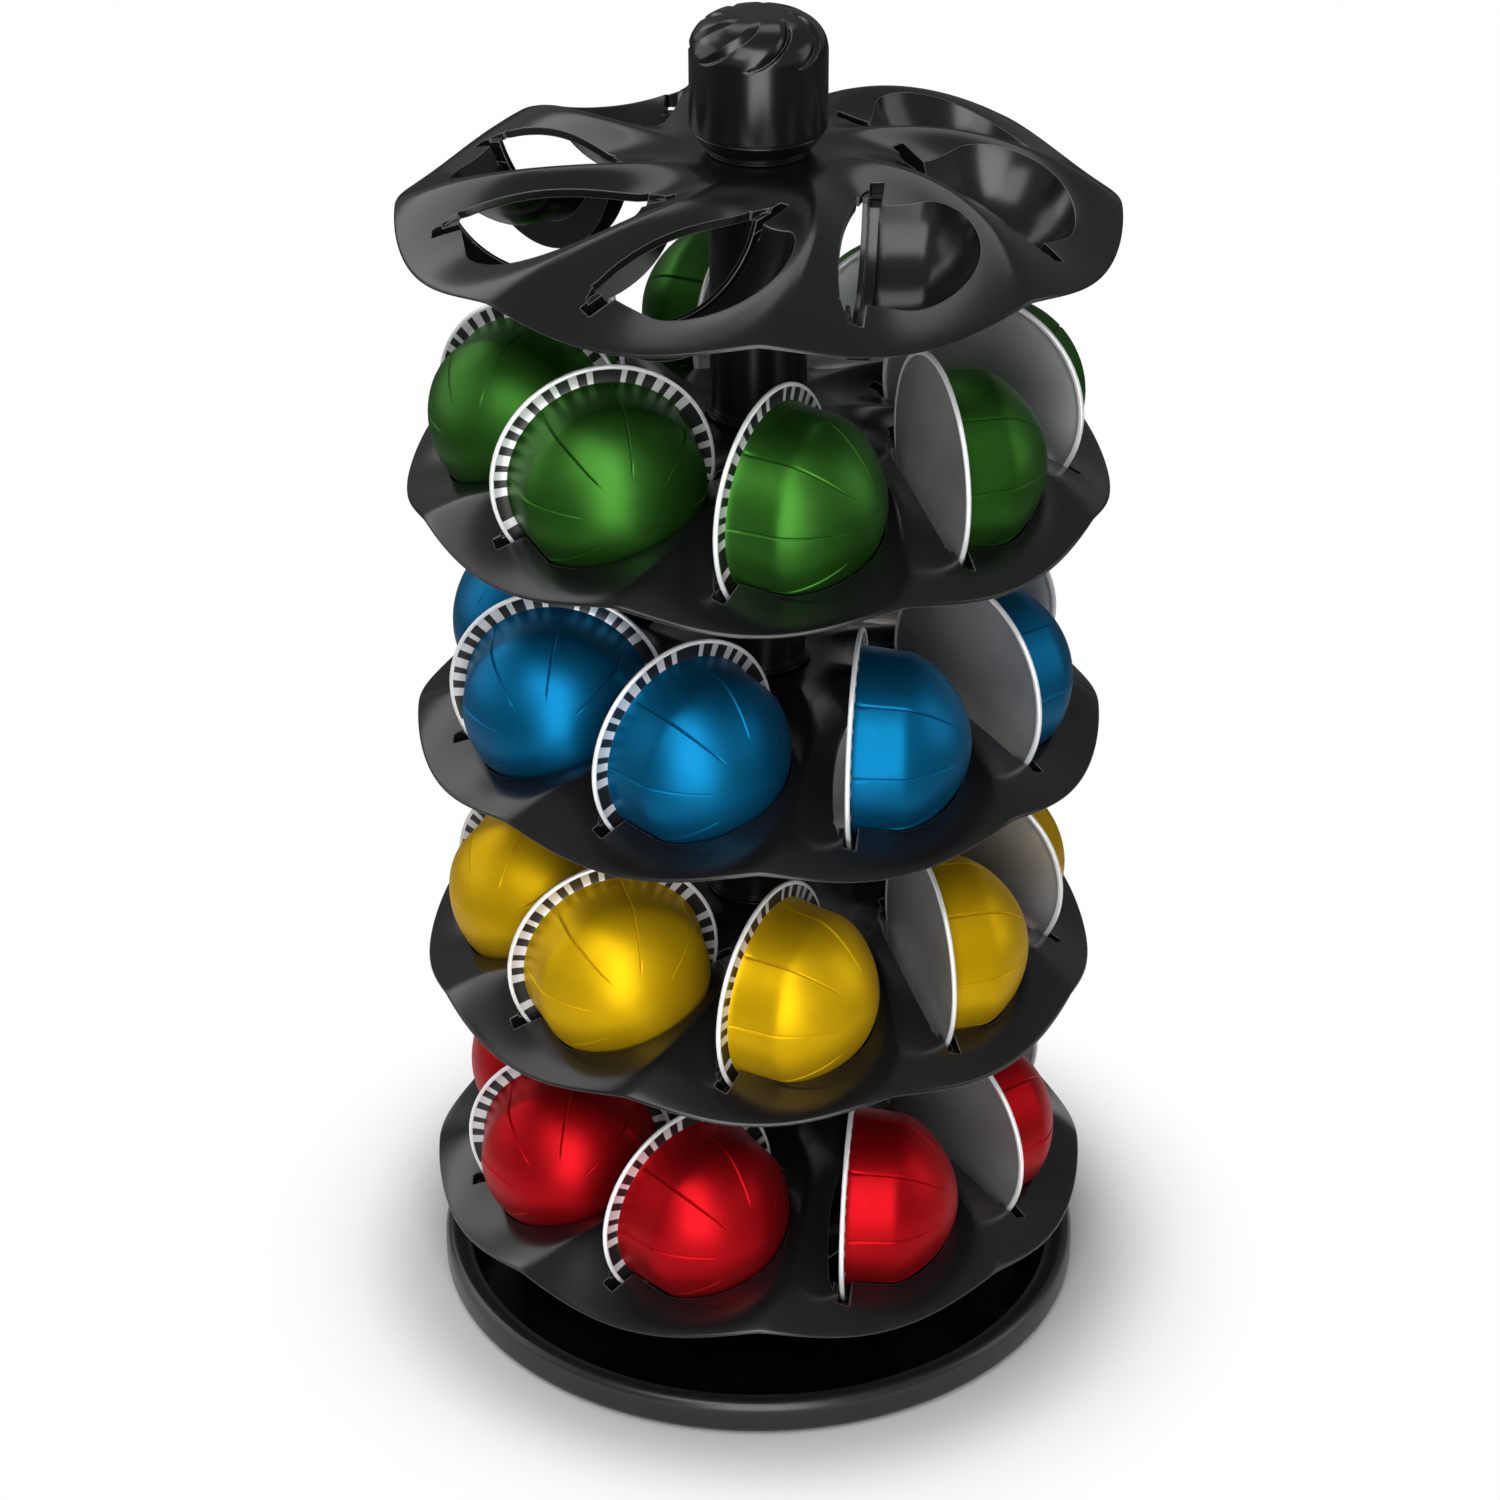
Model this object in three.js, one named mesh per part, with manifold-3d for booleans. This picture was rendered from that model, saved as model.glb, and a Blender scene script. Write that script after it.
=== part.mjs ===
// Turning dispenser for domed coffee capsules: five swirled tiers of eight pockets on one pole.
// Millimetres, +Z up. The origin is the centre of the plane that the feet rest on.
import * as THREE from "three";
import { mergeVertices } from "three/addons/utils/BufferGeometryUtils.js";
import Module from "manifold-3d";

const wasm = await Module();
wasm.setup();

const DEGREE = Math.PI / 180;
const { clamp, lerp, smoothstep } = THREE.MathUtils;

// Fits
const CLEARANCE = 0.3; // between pieces that seat on or pass through each other
const OVERRUN = 1; // how far a cutter runs past the face that it opens
const MERGE_DISTANCE = 0.0001; // corners nearer than this are one corner

// Layout of the tiers
const TIER_COUNT = 5;
const POCKET_COUNT = 8;
const TIER_SPACING = 76;
const FIRST_RIM_HEIGHT = 39.1; // the lowest rim's crests above the table

// Swirled sheet of a tier; heights are above the rim's crests
const TIER_RADIUS = 98;
const SHEET_THICKNESS = 2.2;
const HUB_RADIUS = 17.6; // flat middle
const HUB_RISE = 14.9;
const RIM_WAVE = 4.9; // valleys below the ridges at the rim
const VALLEY_GROWTH = 11.4; // how much deeper they would be at the hub, if they didn't fade
const VALLEY_FADE_SHARE = 0.3; // where they start to fade, from the rim to the hub
const RIDGE_SWIRL = 30.4 * DEGREE; // turn of a ridge from the hub to the rim
const SWIRL_BEND_SHARE = 0.16;
const CREST_SHARPNESS = 1.3;
const ridgeShares = [0, 1.18, 1.22, 1]; // Bezier heights of a ridge from rim to hub, of HUB_RISE
const ringShares = [0, 0.3, 0.65, 1]; // rings of facets from hub to rim
const stepShares = [0, 0.2, 0.5, 0.8]; // facets from one ridge to the next

// Capsule, along its axis from the middle of its flange
const FLANGE_RADIUS = 31;
const FLANGE_THICKNESS = 1.4;
const BODY_RADIUS = 27;
const BODY_DRAFT = 0.4; // how much the straight part narrows
const STRAIGHT_DEPTH = 13.7;
const DOME_DEPTH = 30.9;
const CAPSULE_FACETS = 10;
const domeShares = [0, 0.55, 1]; // of a quarter turn, from the straight part to the tip

// Pocket: where the middle of its capsule's flange sits, and how the slot runs
const POCKET_RADIUS = 62.1;
const POCKET_RISE = 17.4;
const POCKET_AZIMUTH = 25.7 * DEGREE; // from a ridge's end on the rim
const SLOT_SWIRL = 31.9 * DEGREE; // the slot's heading, turned from the radius
const SLOT_FALL = 11.8 * DEGREE; // outwards
const FLANGE_LIFT = 11.3; // the flange's middle above the slot
const BODY_ROOM = 0.7; // between the capsule's body and its cup
const GROOVE_WIDTH = 2.9;
const GROOVE_OFFSET = 0.25; // the groove's middle from the flange's, towards the dome
const GROOVE_ROOM = 1.05; // round the flange's edge
const LIP_THICKNESS = 1.5; // wall on the foil's side
const LIP_REACH = 6; // how far the lip covers the groove, from the groove's floor
const CUP_WALL = 1.8;
const WINDOW_WIDTH = 5.8; // lens-shaped opening beside the slot, on the foil's side

// Pole and its tie rod
const SLEEVE_RADIUS = 13.4;
const SLEEVE_WALL = 2.4;
const RING_RADIUS = 14.9; // thin raised ring at the foot of a sleeve
const RING_HEIGHT = 1.2;
const ROD_RADIUS = 3;
const SPIGOT_HEIGHT = 3; // of the hubs, inside the sleeves' ends
const POLE_FACETS = 12;
const ROD_FACETS = 8;

// Base; heights are above the table
const BASE_RADIUS = 97;
const BASE_RIM_HEIGHT = 11.4;
const BASE_RIM_WIDTH = 14;
const BASE_EDGE_HEIGHT = 5.5; // where the outer wall starts to round over
const BASE_EDGE_RADIUS = 6;
const DISH_HEIGHT = 6.5;
const FOOT_PROUD = 1; // how far the feet lift the tray
const FOOT_RADIUS = 8;
const FOOT_DEPTH = 2; // how far a foot sits in its recess
const FOOT_CIRCLE = 78;
const FOOT_COUNT = 4;
const BOSS_RADIUS = 29;
const BOSS_HEIGHT = 13;
const NUT_ROOM_RADIUS = 13;
const BOSS_ROOF = 3.6; // over the nut's room
const BASE_FACETS = 32;
const SMALL_FACETS = 8;

// Thrust bearing between the base and the turn hub
const RACE_INNER = 15;
const RACE_OUTER = 25.5;
const RACE_HEIGHT = 3;
const RACE_SINK = 1.5; // how deep a race sits in its seat
const BALL_RADIUS = 3;
const BALL_COUNT = 8;
const BALL_GAP = 0.2; // running gap between balls and races
const RACE_GAP = 3; // between the two races
const RACE_LIP = 1.2; // wall that keeps the balls in
const CAGE_THICKNESS = 1.6;
const CAGE_INNER = 16;
const CAGE_OUTER = 24;
const BEARING_FACETS = 16;
const BALL_SEGMENTS = 5;
const BALL_RINGS = 4;

// Turn hub over the bearing
const TURN_HUB_RADIUS = 33;
const TURN_HUB_HEIGHT = 8; // from the upper race's top to the hub's top
const SKIRT_WALL = 2;
const SKIRT_REACH = 5; // below the upper race's top

// Fixings under the base
const WASHER_RADIUS = 9;
const WASHER_THICKNESS = 1.2;
const NUT_RADIUS = 5.8; // over its corners
const NUT_HEIGHT = 5;
const NUT_SIDES = 6;
const ROD_END = 1; // how far the rod stands past the nut

// Collar and knob
const COLLAR_HEIGHT = 1.6;
const COLLAR_RADIUS = 14; // of its ring
const COLLAR_RING_SHARE = 0.4; // of the collar's height
const KNOB_RADIUS = 18.6;
const KNOB_HEIGHT = 35.8;
const KNOB_FOOT_RADIUS = 15;
const KNOB_TAPER = 2.4; // height of the tapered foot
const KNOB_BAND_HEIGHT = 4.6; // the foot and the band under the fine groove
const KNOB_GROOVE = 0.5;
const KNOB_DOME = 9.8; // height of the crowned top
const KNOB_DISC_RADIUS = 6.6; // flat middle of the crown
const crownShares = [
  [0.09, 0.42],
  [0.43, 0.82],
]; // of the way in to the disc, and of the crown's height
const KNOB_FACETS = 20;
const FLUTE_COUNT = 8;
const FLUTE_LENGTH = 13;
const FLUTE_WIDTH = 4.4;
const FLUTE_DEPTH = 1.2;
const FLUTE_CIRCLE = 17.3;
const FLUTE_DROP = 5.5; // its middle under the knob's top
const FLUTE_TILT = 59 * DEGREE; // of the crown's normal, from the axis
const FLUTE_SWIRL = 46 * DEGREE; // of the flute, from straight up the crown
const FLUTE_RINGS = 3;
const INSERT_RADIUS = 5;
const INSERT_LENGTH = 14;
const INSERT_SHOULDER = 2; // insert's end above the knob's foot
const ROD_GRIP = 12; // length of rod inside the insert

const PITCH = (2 * Math.PI) / POCKET_COUNT;
const HUB_BORE = ROD_RADIUS + CLEARANCE;
const SLEEVE_BORE = SLEEVE_RADIUS - SLEEVE_WALL;
const SPIGOT_RADIUS = SLEEVE_BORE * Math.cos(Math.PI / POLE_FACETS) - CLEARANCE;
const GROOVE_RADIUS = FLANGE_RADIUS + GROOVE_ROOM;
const GROOVE_LOW = GROOVE_OFFSET - GROOVE_WIDTH / 2;
const GROOVE_HIGH = GROOVE_OFFSET + GROOVE_WIDTH / 2;
const LIP_FACE = GROOVE_LOW - LIP_THICKNESS;

function material(color, roughness, metalness) {
  return new THREE.MeshStandardMaterial({ color, roughness, metalness });
}

const blackPlastic = material(0x141518, 0.34, 0);
const baseGloss = material(0x0f1012, 0.2, 0);
const rubber = material(0x1c1c1c, 0.85, 0);
const steel = material(0xb9bcc0, 0.3, 1);
const brass = material(0xb5914c, 0.35, 1);
const whiteCage = material(0xdedcd4, 0.5, 0);

// Contents of the tiers from the lowest up; the top tier is empty.
const fillings = [
  { name: "red", finish: material(0xb3162a, 0.3, 1) },
  { name: "yellow", finish: material(0xd9a21b, 0.3, 1) },
  { name: "blue", finish: material(0x1d6fb8, 0.3, 1) },
  { name: "green", finish: material(0x55a02c, 0.3, 1) },
];

// A closed geometry as a solid that can be joined and cut.
function toSolid(geometry) {
  const bare = new THREE.BufferGeometry();
  bare.setAttribute("position", geometry.getAttribute("position"));
  bare.setIndex(geometry.index);
  const merged = mergeVertices(bare, MERGE_DISTANCE);
  const corners = merged.index.array;
  const faces = [];
  for (let i = 0; i < corners.length; i += 3) {
    const [a, b, c] = corners.slice(i, i + 3);
    if (a !== b && b !== c && c !== a) faces.push(a, b, c);
  }
  const vertProperties = merged.attributes.position.array;
  return new wasm.Manifold(
    new wasm.Mesh({ numProp: 3, vertProperties, triVerts: new Uint32Array(faces) }),
  );
}

function toGeometry(solid) {
  const { vertProperties, triVerts } = solid.getMesh();
  const geometry = new THREE.BufferGeometry();
  geometry.setAttribute("position", new THREE.BufferAttribute(vertProperties, 3));
  geometry.setIndex(new THREE.BufferAttribute(triVerts, 1));
  geometry.computeVertexNormals();
  return geometry;
}

// Solid turned about Y from [radius, height] points, bottom to top.
function turned(profile, facets) {
  const points = profile.map(([radius, height]) => new THREE.Vector2(radius, height));
  return new THREE.LatheGeometry(points, facets);
}

// The same about Z, for everything on the pole's axis.
function upright(profile, facets) {
  return toSolid(turned(profile, facets).rotateX(90 * DEGREE));
}

// A turned ring: its profile closes on itself.
function ring(profile, facets) {
  return upright([...profile, profile[0]], facets);
}

function tube(inner, outer, low, high, facets) {
  const section = [
    [inner, low],
    [outer, low],
    [outer, high],
    [inner, high],
  ];
  return ring(section, facets);
}

function rod(radius, low, high, facets) {
  const section = [
    [0, low],
    [radius, low],
    [radius, high],
    [0, high],
  ];
  return upright(section, facets);
}

function moved(geometry, object) {
  object.updateWorldMatrix(true, false);
  return toSolid(geometry.clone().applyMatrix4(object.matrixWorld));
}

function piece(name, solid, finish) {
  const mesh = new THREE.Mesh(toGeometry(solid), finish);
  mesh.name = name;
  return mesh;
}

// How far a radius lies from the rim (0) to the hub (1).
function inwardShare(radius) {
  return clamp((TIER_RADIUS - radius) / (TIER_RADIUS - HUB_RADIUS), 0, 1);
}

function ridgeHeight(share) {
  const [a, b, c, d] = ridgeShares;
  const rest = 1 - share;
  const bend = a * rest ** 3 + 3 * b * share * rest ** 2 + 3 * c * share ** 2 * rest + d * share ** 3;
  return HUB_RISE * bend;
}

function valleyDepth(share) {
  return (RIM_WAVE + VALLEY_GROWTH * share) * (1 - smoothstep(share, VALLEY_FADE_SHARE, 1));
}

function ridgeAzimuth(share) {
  return RIDGE_SWIRL * share * lerp(1, share, SWIRL_BEND_SHARE);
}

// Point of the sheet's top face at an angle past a ridge, lowered by drop.
function sheetPoint(radius, angle, drop) {
  const share = inwardShare(radius);
  const wave = Math.abs(Math.sin((angle * POCKET_COUNT) / 2)) ** CREST_SHARPNESS;
  const azimuth = angle + ridgeAzimuth(share);
  const height = ridgeHeight(share) - valleyDepth(share) * wave - drop;
  return new THREE.Vector3(radius * Math.cos(azimuth), radius * Math.sin(azimuth), height);
}

function sheetRow(radius, drop) {
  const row = [];
  for (let ridge = 0; ridge < POCKET_COUNT; ridge++) {
    for (const share of stepShares) row.push(sheetPoint(radius, (ridge + share) * PITCH, drop));
  }
  return row;
}

// Closed skin over rows of points, each a loop round the axis, with the last row joined to the first.
function skin(rows) {
  const columns = rows[0].length;
  const indices = [];
  for (let i = 0; i < rows.length; i++) {
    const next = (i + 1) % rows.length;
    for (let j = 0; j < columns; j++) {
      const beside = (j + 1) % columns;
      const [a, b] = [i * columns + j, next * columns + j];
      const [c, d] = [next * columns + beside, i * columns + beside];
      indices.push(a, b, c, a, c, d);
    }
  }
  const geometry = new THREE.BufferGeometry().setFromPoints(rows.flat());
  geometry.setIndex(indices);
  return geometry;
}

// Slab under the sheet's top face, from one drop below it to another.
function sheetSlab(outerRadius, topDrop, bottomDrop) {
  const bend = ringShares.map((share) => lerp(HUB_RADIUS, outerRadius, share));
  const radii = [(HUB_BORE + SPIGOT_RADIUS) / 2, ...bend];
  const top = radii.map((radius) => sheetRow(radius, topDrop));
  const bottom = radii.map((radius) => sheetRow(radius, bottomDrop)).reverse();
  return toSolid(skin([...top, ...bottom]));
}

// Frame of a pocket: X runs outwards along the slot, Y points from the foil to the dome.
function pocketSeat(index) {
  const turn = new THREE.Group();
  turn.rotation.z = POCKET_AZIMUTH + index * PITCH;
  const seat = new THREE.Group();
  seat.position.set(POCKET_RADIUS, 0, POCKET_RISE);
  seat.rotation.set(0, SLOT_FALL, -SLOT_SWIRL, "ZYX");
  turn.add(seat);
  return { turn, seat };
}

// Profile of the capsule's body from its flange to its tip, grown by room.
function bodyProfile(room) {
  const endRadius = BODY_RADIUS - BODY_DRAFT;
  const domeHeight = DOME_DEPTH - STRAIGHT_DEPTH;
  const dome = domeShares.map((share) => {
    const angle = share * 90 * DEGREE;
    const radius = share === 1 ? 0 : (endRadius + room) * Math.cos(angle);
    return [radius, STRAIGHT_DEPTH + (domeHeight + room) * Math.sin(angle)];
  });
  return [[BODY_RADIUS + room, FLANGE_THICKNESS / 2], ...dome];
}

function capsuleSolid() {
  const half = FLANGE_THICKNESS / 2;
  const profile = [[0, -half], [FLANGE_RADIUS, -half], [FLANGE_RADIUS, half], ...bodyProfile(0)];
  return toSolid(turned(profile, CAPSULE_FACETS));
}

// Outside of the pocket: the ring of the groove, then the cup.
function pocketShell() {
  const [, ...cup] = bodyProfile(BODY_ROOM + CUP_WALL);
  const ringRadius = GROOVE_RADIUS + CUP_WALL;
  const ringEnd = GROOVE_HIGH + CUP_WALL;
  const rim = [
    [0, LIP_FACE],
    [ringRadius, LIP_FACE],
    [ringRadius, ringEnd],
    [cup[0][0], ringEnd],
  ];
  return turned([...rim, ...cup], CAPSULE_FACETS);
}

// Room for the capsule: the window beside the slot, the mouth inside the lip, the groove and the cup.
function pocketRoom() {
  const [, ...cup] = bodyProfile(BODY_ROOM);
  const groove = [
    [0, GROOVE_LOW - WINDOW_WIDTH],
    [FLANGE_LIFT, GROOVE_LOW - WINDOW_WIDTH],
    [GROOVE_RADIUS - LIP_REACH, GROOVE_LOW],
    [GROOVE_RADIUS, GROOVE_LOW],
    [GROOVE_RADIUS, GROOVE_HIGH],
    [cup[0][0], GROOVE_HIGH],
  ];
  return turned([...groove, ...cup], CAPSULE_FACETS);
}

// Bored hub of a tier, with a spigot into the sleeve above and the one below.
function tierHub() {
  const low = HUB_RISE - SHEET_THICKNESS - SPIGOT_HEIGHT;
  return tube(HUB_BORE, SPIGOT_RADIUS, low, HUB_RISE + SPIGOT_HEIGHT, POLE_FACETS);
}

function tierSolid() {
  const middle = SHEET_THICKNESS / 2;
  const under = sheetSlab(TIER_RADIUS - middle, middle, TIER_SPACING);
  const seats = Array.from({ length: POCKET_COUNT }, (_, i) => pocketSeat(i).seat);
  let tier = sheetSlab(TIER_RADIUS, 0, SHEET_THICKNESS).add(tierHub());
  for (const seat of seats) tier = tier.add(moved(pocketShell(), seat).intersect(under));
  for (const seat of seats) tier = tier.subtract(moved(pocketRoom(), seat));
  return tier;
}

// Sleeve of the pole with a thin ring round its foot.
function sleeveSolid(length) {
  const section = [
    [SLEEVE_BORE, 0],
    [RING_RADIUS, 0],
    [RING_RADIUS, RING_HEIGHT],
    [SLEEVE_RADIUS, RING_HEIGHT],
    [SLEEVE_RADIUS, length],
    [SLEEVE_BORE, length],
  ];
  return ring(section, POLE_FACETS);
}

// Heights of the bearing's stack above the table
const raceLow = BOSS_HEIGHT - RACE_SINK;
const ballHeight = raceLow + RACE_HEIGHT + RACE_GAP / 2;
const upperRaceLow = ballHeight + RACE_GAP / 2;
const turnHubTop = upperRaceLow + RACE_HEIGHT + TURN_HUB_HEIGHT;
const ballCircle = (CAGE_INNER + CAGE_OUTER) / 2;

function footPlaces() {
  return Array.from({ length: FOOT_COUNT }, (_, i) => {
    const azimuth = ((i + 0.5) * 2 * Math.PI) / FOOT_COUNT;
    return [FOOT_CIRCLE * Math.cos(azimuth), FOOT_CIRCLE * Math.sin(azimuth)];
  });
}

function baseTray() {
  const rimInner = BASE_RADIUS - BASE_RIM_WIDTH;
  const edge = BASE_RADIUS - BASE_EDGE_RADIUS;
  const dip = rimInner + (BASE_RIM_HEIGHT - DISH_HEIGHT);
  const round = 45 * DEGREE;
  const edgeRise = BASE_RIM_HEIGHT - BASE_EDGE_HEIGHT;
  const section = [
    [0, FOOT_PROUD],
    [BASE_RADIUS - FOOT_PROUD, FOOT_PROUD],
    [BASE_RADIUS, BASE_EDGE_HEIGHT],
    [edge + BASE_EDGE_RADIUS * Math.cos(round), BASE_EDGE_HEIGHT + edgeRise * Math.sin(round)],
    [edge, BASE_RIM_HEIGHT],
    [dip, BASE_RIM_HEIGHT - FOOT_PROUD],
    [rimInner, DISH_HEIGHT],
    [0, DISH_HEIGHT],
  ];
  let tray = upright(section, BASE_FACETS);
  tray = tray.add(rod(BOSS_RADIUS, DISH_HEIGHT - OVERRUN, BOSS_HEIGHT, BEARING_FACETS));
  const seatLow = raceLow - CLEARANCE;
  const [seatInner, seatOuter] = [RACE_INNER - CLEARANCE, RACE_OUTER + CLEARANCE];
  tray = tray.subtract(tube(seatInner, seatOuter, seatLow, BOSS_HEIGHT + OVERRUN, BEARING_FACETS));
  const roof = BOSS_HEIGHT - BOSS_ROOF;
  tray = tray.subtract(rod(NUT_ROOM_RADIUS, -OVERRUN, roof, SMALL_FACETS));
  tray = tray.subtract(rod(HUB_BORE, -OVERRUN, BOSS_HEIGHT + OVERRUN, SMALL_FACETS));
  const recess = FOOT_PROUD + FOOT_DEPTH + CLEARANCE;
  for (const [x, y] of footPlaces()) {
    const cutter = rod(FOOT_RADIUS + CLEARANCE, -OVERRUN, recess, SMALL_FACETS);
    tray = tray.subtract(cutter.translate([x, y, 0]));
  }
  return tray;
}

function footPads() {
  return footPlaces().map(([x, y], i) => {
    const pad = rod(FOOT_RADIUS, 0, FOOT_PROUD + FOOT_DEPTH, SMALL_FACETS);
    const mesh = piece(`foot_pad_${i + 1}`, pad, rubber);
    mesh.position.set(x, y, 0);
    return mesh;
  });
}

// Race with a lip round its track, its flat face at zero and its track facing up.
function raceSolid() {
  const lipInner = RACE_OUTER - RACE_LIP;
  const floor = RACE_HEIGHT + RACE_GAP / 2 - BALL_RADIUS - BALL_GAP;
  const section = [
    [RACE_INNER, 0],
    [RACE_OUTER, 0],
    [RACE_OUTER, RACE_HEIGHT],
    [lipInner, RACE_HEIGHT],
    [lipInner, floor],
    [RACE_INNER, floor],
  ];
  return ring(section, BEARING_FACETS);
}

// Flat cage with its balls held in it.
function ballCage() {
  const half = CAGE_THICKNESS / 2;
  let cage = tube(CAGE_INNER, CAGE_OUTER, -half, half, BEARING_FACETS);
  for (let i = 0; i < BALL_COUNT; i++) {
    const azimuth = (i * 2 * Math.PI) / BALL_COUNT;
    const ball = new THREE.SphereGeometry(BALL_RADIUS, BALL_SEGMENTS, BALL_RINGS);
    ball.rotateX(90 * DEGREE);
    ball.translate(ballCircle * Math.cos(azimuth), ballCircle * Math.sin(azimuth), 0);
    cage = cage.add(toSolid(ball));
  }
  return cage;
}

function turnHub() {
  const raceTop = upperRaceLow + RACE_HEIGHT;
  const seat = raceTop + CLEARANCE;
  const skirtLow = raceTop - SKIRT_REACH;
  const seatRadius = RACE_OUTER + CLEARANCE;
  const seatLow = seat - RACE_SINK;
  const section = [
    [HUB_BORE, seat],
    [seatRadius, seat],
    [seatRadius, seatLow],
    [TURN_HUB_RADIUS - SKIRT_WALL, seatLow],
    [TURN_HUB_RADIUS - SKIRT_WALL, skirtLow],
    [TURN_HUB_RADIUS, skirtLow],
    [TURN_HUB_RADIUS, seat],
    [RING_RADIUS + SKIRT_WALL, turnHubTop],
    [SPIGOT_RADIUS, turnHubTop],
    [SPIGOT_RADIUS, turnHubTop + SPIGOT_HEIGHT],
    [HUB_BORE, turnHubTop + SPIGOT_HEIGHT],
  ];
  return ring(section, BEARING_FACETS);
}

function baseGroup() {
  const group = new THREE.Group();
  group.add(piece("base_tray", baseTray(), baseGloss), ...footPads());
  const lower = piece("bearing_lower_race", raceSolid(), steel);
  lower.position.z = raceLow;
  const cage = piece("ball_cage", ballCage(), whiteCage);
  cage.position.z = ballHeight;
  group.add(lower, cage);
  return group;
}

function tierRimHeight(index) {
  return FIRST_RIM_HEIGHT + index * TIER_SPACING;
}

// Sleeve under each tier, from the hub or the tier below it.
function poleSleeves() {
  return Array.from({ length: TIER_COUNT }, (_, i) => {
    const seat = i === 0 ? turnHubTop : tierRimHeight(i - 1) + HUB_RISE;
    const top = tierRimHeight(i) + HUB_RISE - SHEET_THICKNESS;
    const sleeve = sleeveSolid(top - seat - 2 * CLEARANCE);
    const mesh = piece(`pole_sleeve_${i + 1}`, sleeve, blackPlastic);
    mesh.position.z = seat + CLEARANCE;
    return mesh;
  });
}

// A tier in its place, with a capsule in each pocket where it has a filling.
function tierGroup(index, tier, capsule) {
  const group = new THREE.Group();
  group.position.z = tierRimHeight(index);
  group.rotation.z = (index % 2) * (PITCH / 2);
  group.add(piece(`tier_${index + 1}`, tier, blackPlastic));
  const filling = fillings[index];
  for (let i = 0; filling && i < POCKET_COUNT; i++) {
    const { turn, seat } = pocketSeat(i);
    seat.add(piece(`capsule_${filling.name}_${i + 1}`, capsule, filling.finish));
    group.add(turn);
  }
  return group;
}

// Heights at the top of the pole
const topHub = tierRimHeight(TIER_COUNT - 1) + HUB_RISE;
const collarLow = topHub + CLEARANCE;
const knobLow = collarLow + COLLAR_HEIGHT + CLEARANCE;
const insertLow = knobLow + INSERT_SHOULDER;

// Neck with a thin ring between the top tier and the knob.
function knobCollar() {
  const ringTop = COLLAR_HEIGHT * COLLAR_RING_SHARE;
  const section = [
    [SLEEVE_BORE, 0],
    [COLLAR_RADIUS, 0],
    [COLLAR_RADIUS, ringTop],
    [SLEEVE_RADIUS, ringTop],
    [SLEEVE_RADIUS, COLLAR_HEIGHT],
    [SLEEVE_BORE, COLLAR_HEIGHT],
  ];
  return ring(section, POLE_FACETS);
}

// Crescent cutter for one flute, which climbs the crown anticlockwise.
function fluteCutter(index) {
  const flute = new THREE.SphereGeometry(1, BALL_SEGMENTS, FLUTE_RINGS);
  flute.rotateZ(90 * DEGREE);
  flute.scale(FLUTE_LENGTH / 2, FLUTE_WIDTH / 2, FLUTE_DEPTH);
  const turn = new THREE.Group();
  turn.rotation.z = (index * 2 * Math.PI) / FLUTE_COUNT;
  const seat = new THREE.Group();
  seat.position.set(FLUTE_CIRCLE, 0, KNOB_HEIGHT - FLUTE_DROP);
  seat.rotation.set(0, FLUTE_TILT, -FLUTE_SWIRL);
  turn.add(seat);
  return moved(flute, seat);
}

function knobSolid() {
  const crown = KNOB_HEIGHT - KNOB_DOME;
  const grooveRadius = KNOB_RADIUS - KNOB_GROOVE;
  const section = [
    [0, 0],
    [KNOB_FOOT_RADIUS, 0],
    [grooveRadius, KNOB_TAPER],
    [grooveRadius, KNOB_BAND_HEIGHT],
    [KNOB_RADIUS, KNOB_BAND_HEIGHT + KNOB_GROOVE],
    [KNOB_RADIUS, crown - KNOB_GROOVE],
    ...crownShares.map(([inward, up]) => [
      lerp(KNOB_RADIUS, KNOB_DISC_RADIUS, inward),
      crown + KNOB_DOME * up,
    ]),
    [KNOB_DISC_RADIUS, KNOB_HEIGHT],
    [0, KNOB_HEIGHT],
  ];
  let knob = upright(section, KNOB_FACETS);
  for (let i = 0; i < FLUTE_COUNT; i++) knob = knob.subtract(fluteCutter(i));
  const spigotRoom = SPIGOT_HEIGHT - COLLAR_HEIGHT - CLEARANCE;
  knob = knob.subtract(rod(SLEEVE_BORE, -OVERRUN, spigotRoom, POLE_FACETS));
  const socket = INSERT_SHOULDER + INSERT_LENGTH + CLEARANCE;
  return knob.subtract(rod(INSERT_RADIUS + CLEARANCE, -OVERRUN, socket, ROD_FACETS));
}

// Washer, nut and rod that clamp the stack, from the underside of the base to the knob.
function tieParts() {
  const washerTop = BOSS_HEIGHT - BOSS_ROOF - CLEARANCE;
  const washerLow = washerTop - WASHER_THICKNESS;
  const nutTop = washerLow - CLEARANCE;
  const nutLow = nutTop - NUT_HEIGHT;
  const tie = rod(ROD_RADIUS, nutLow - ROD_END, insertLow + ROD_GRIP, ROD_FACETS);
  const washer = tube(HUB_BORE, WASHER_RADIUS, washerLow, washerTop, ROD_FACETS);
  const nut = rod(NUT_RADIUS, nutLow, nutTop, NUT_SIDES).subtract(
    rod(HUB_BORE, nutLow - OVERRUN, nutTop + OVERRUN, ROD_FACETS),
  );
  return [
    piece("tie_rod", tie, steel),
    piece("rod_washer", washer, steel),
    piece("lock_nut", nut, steel),
  ];
}

function topParts() {
  const collar = piece("knob_collar", knobCollar(), blackPlastic);
  collar.position.z = collarLow;
  const knob = piece("knob", knobSolid(), blackPlastic);
  knob.position.z = knobLow;
  const threads = tube(HUB_BORE, INSERT_RADIUS, insertLow, insertLow + INSERT_LENGTH, ROD_FACETS);
  return [collar, knob, piece("knob_insert", threads, brass)];
}

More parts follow.
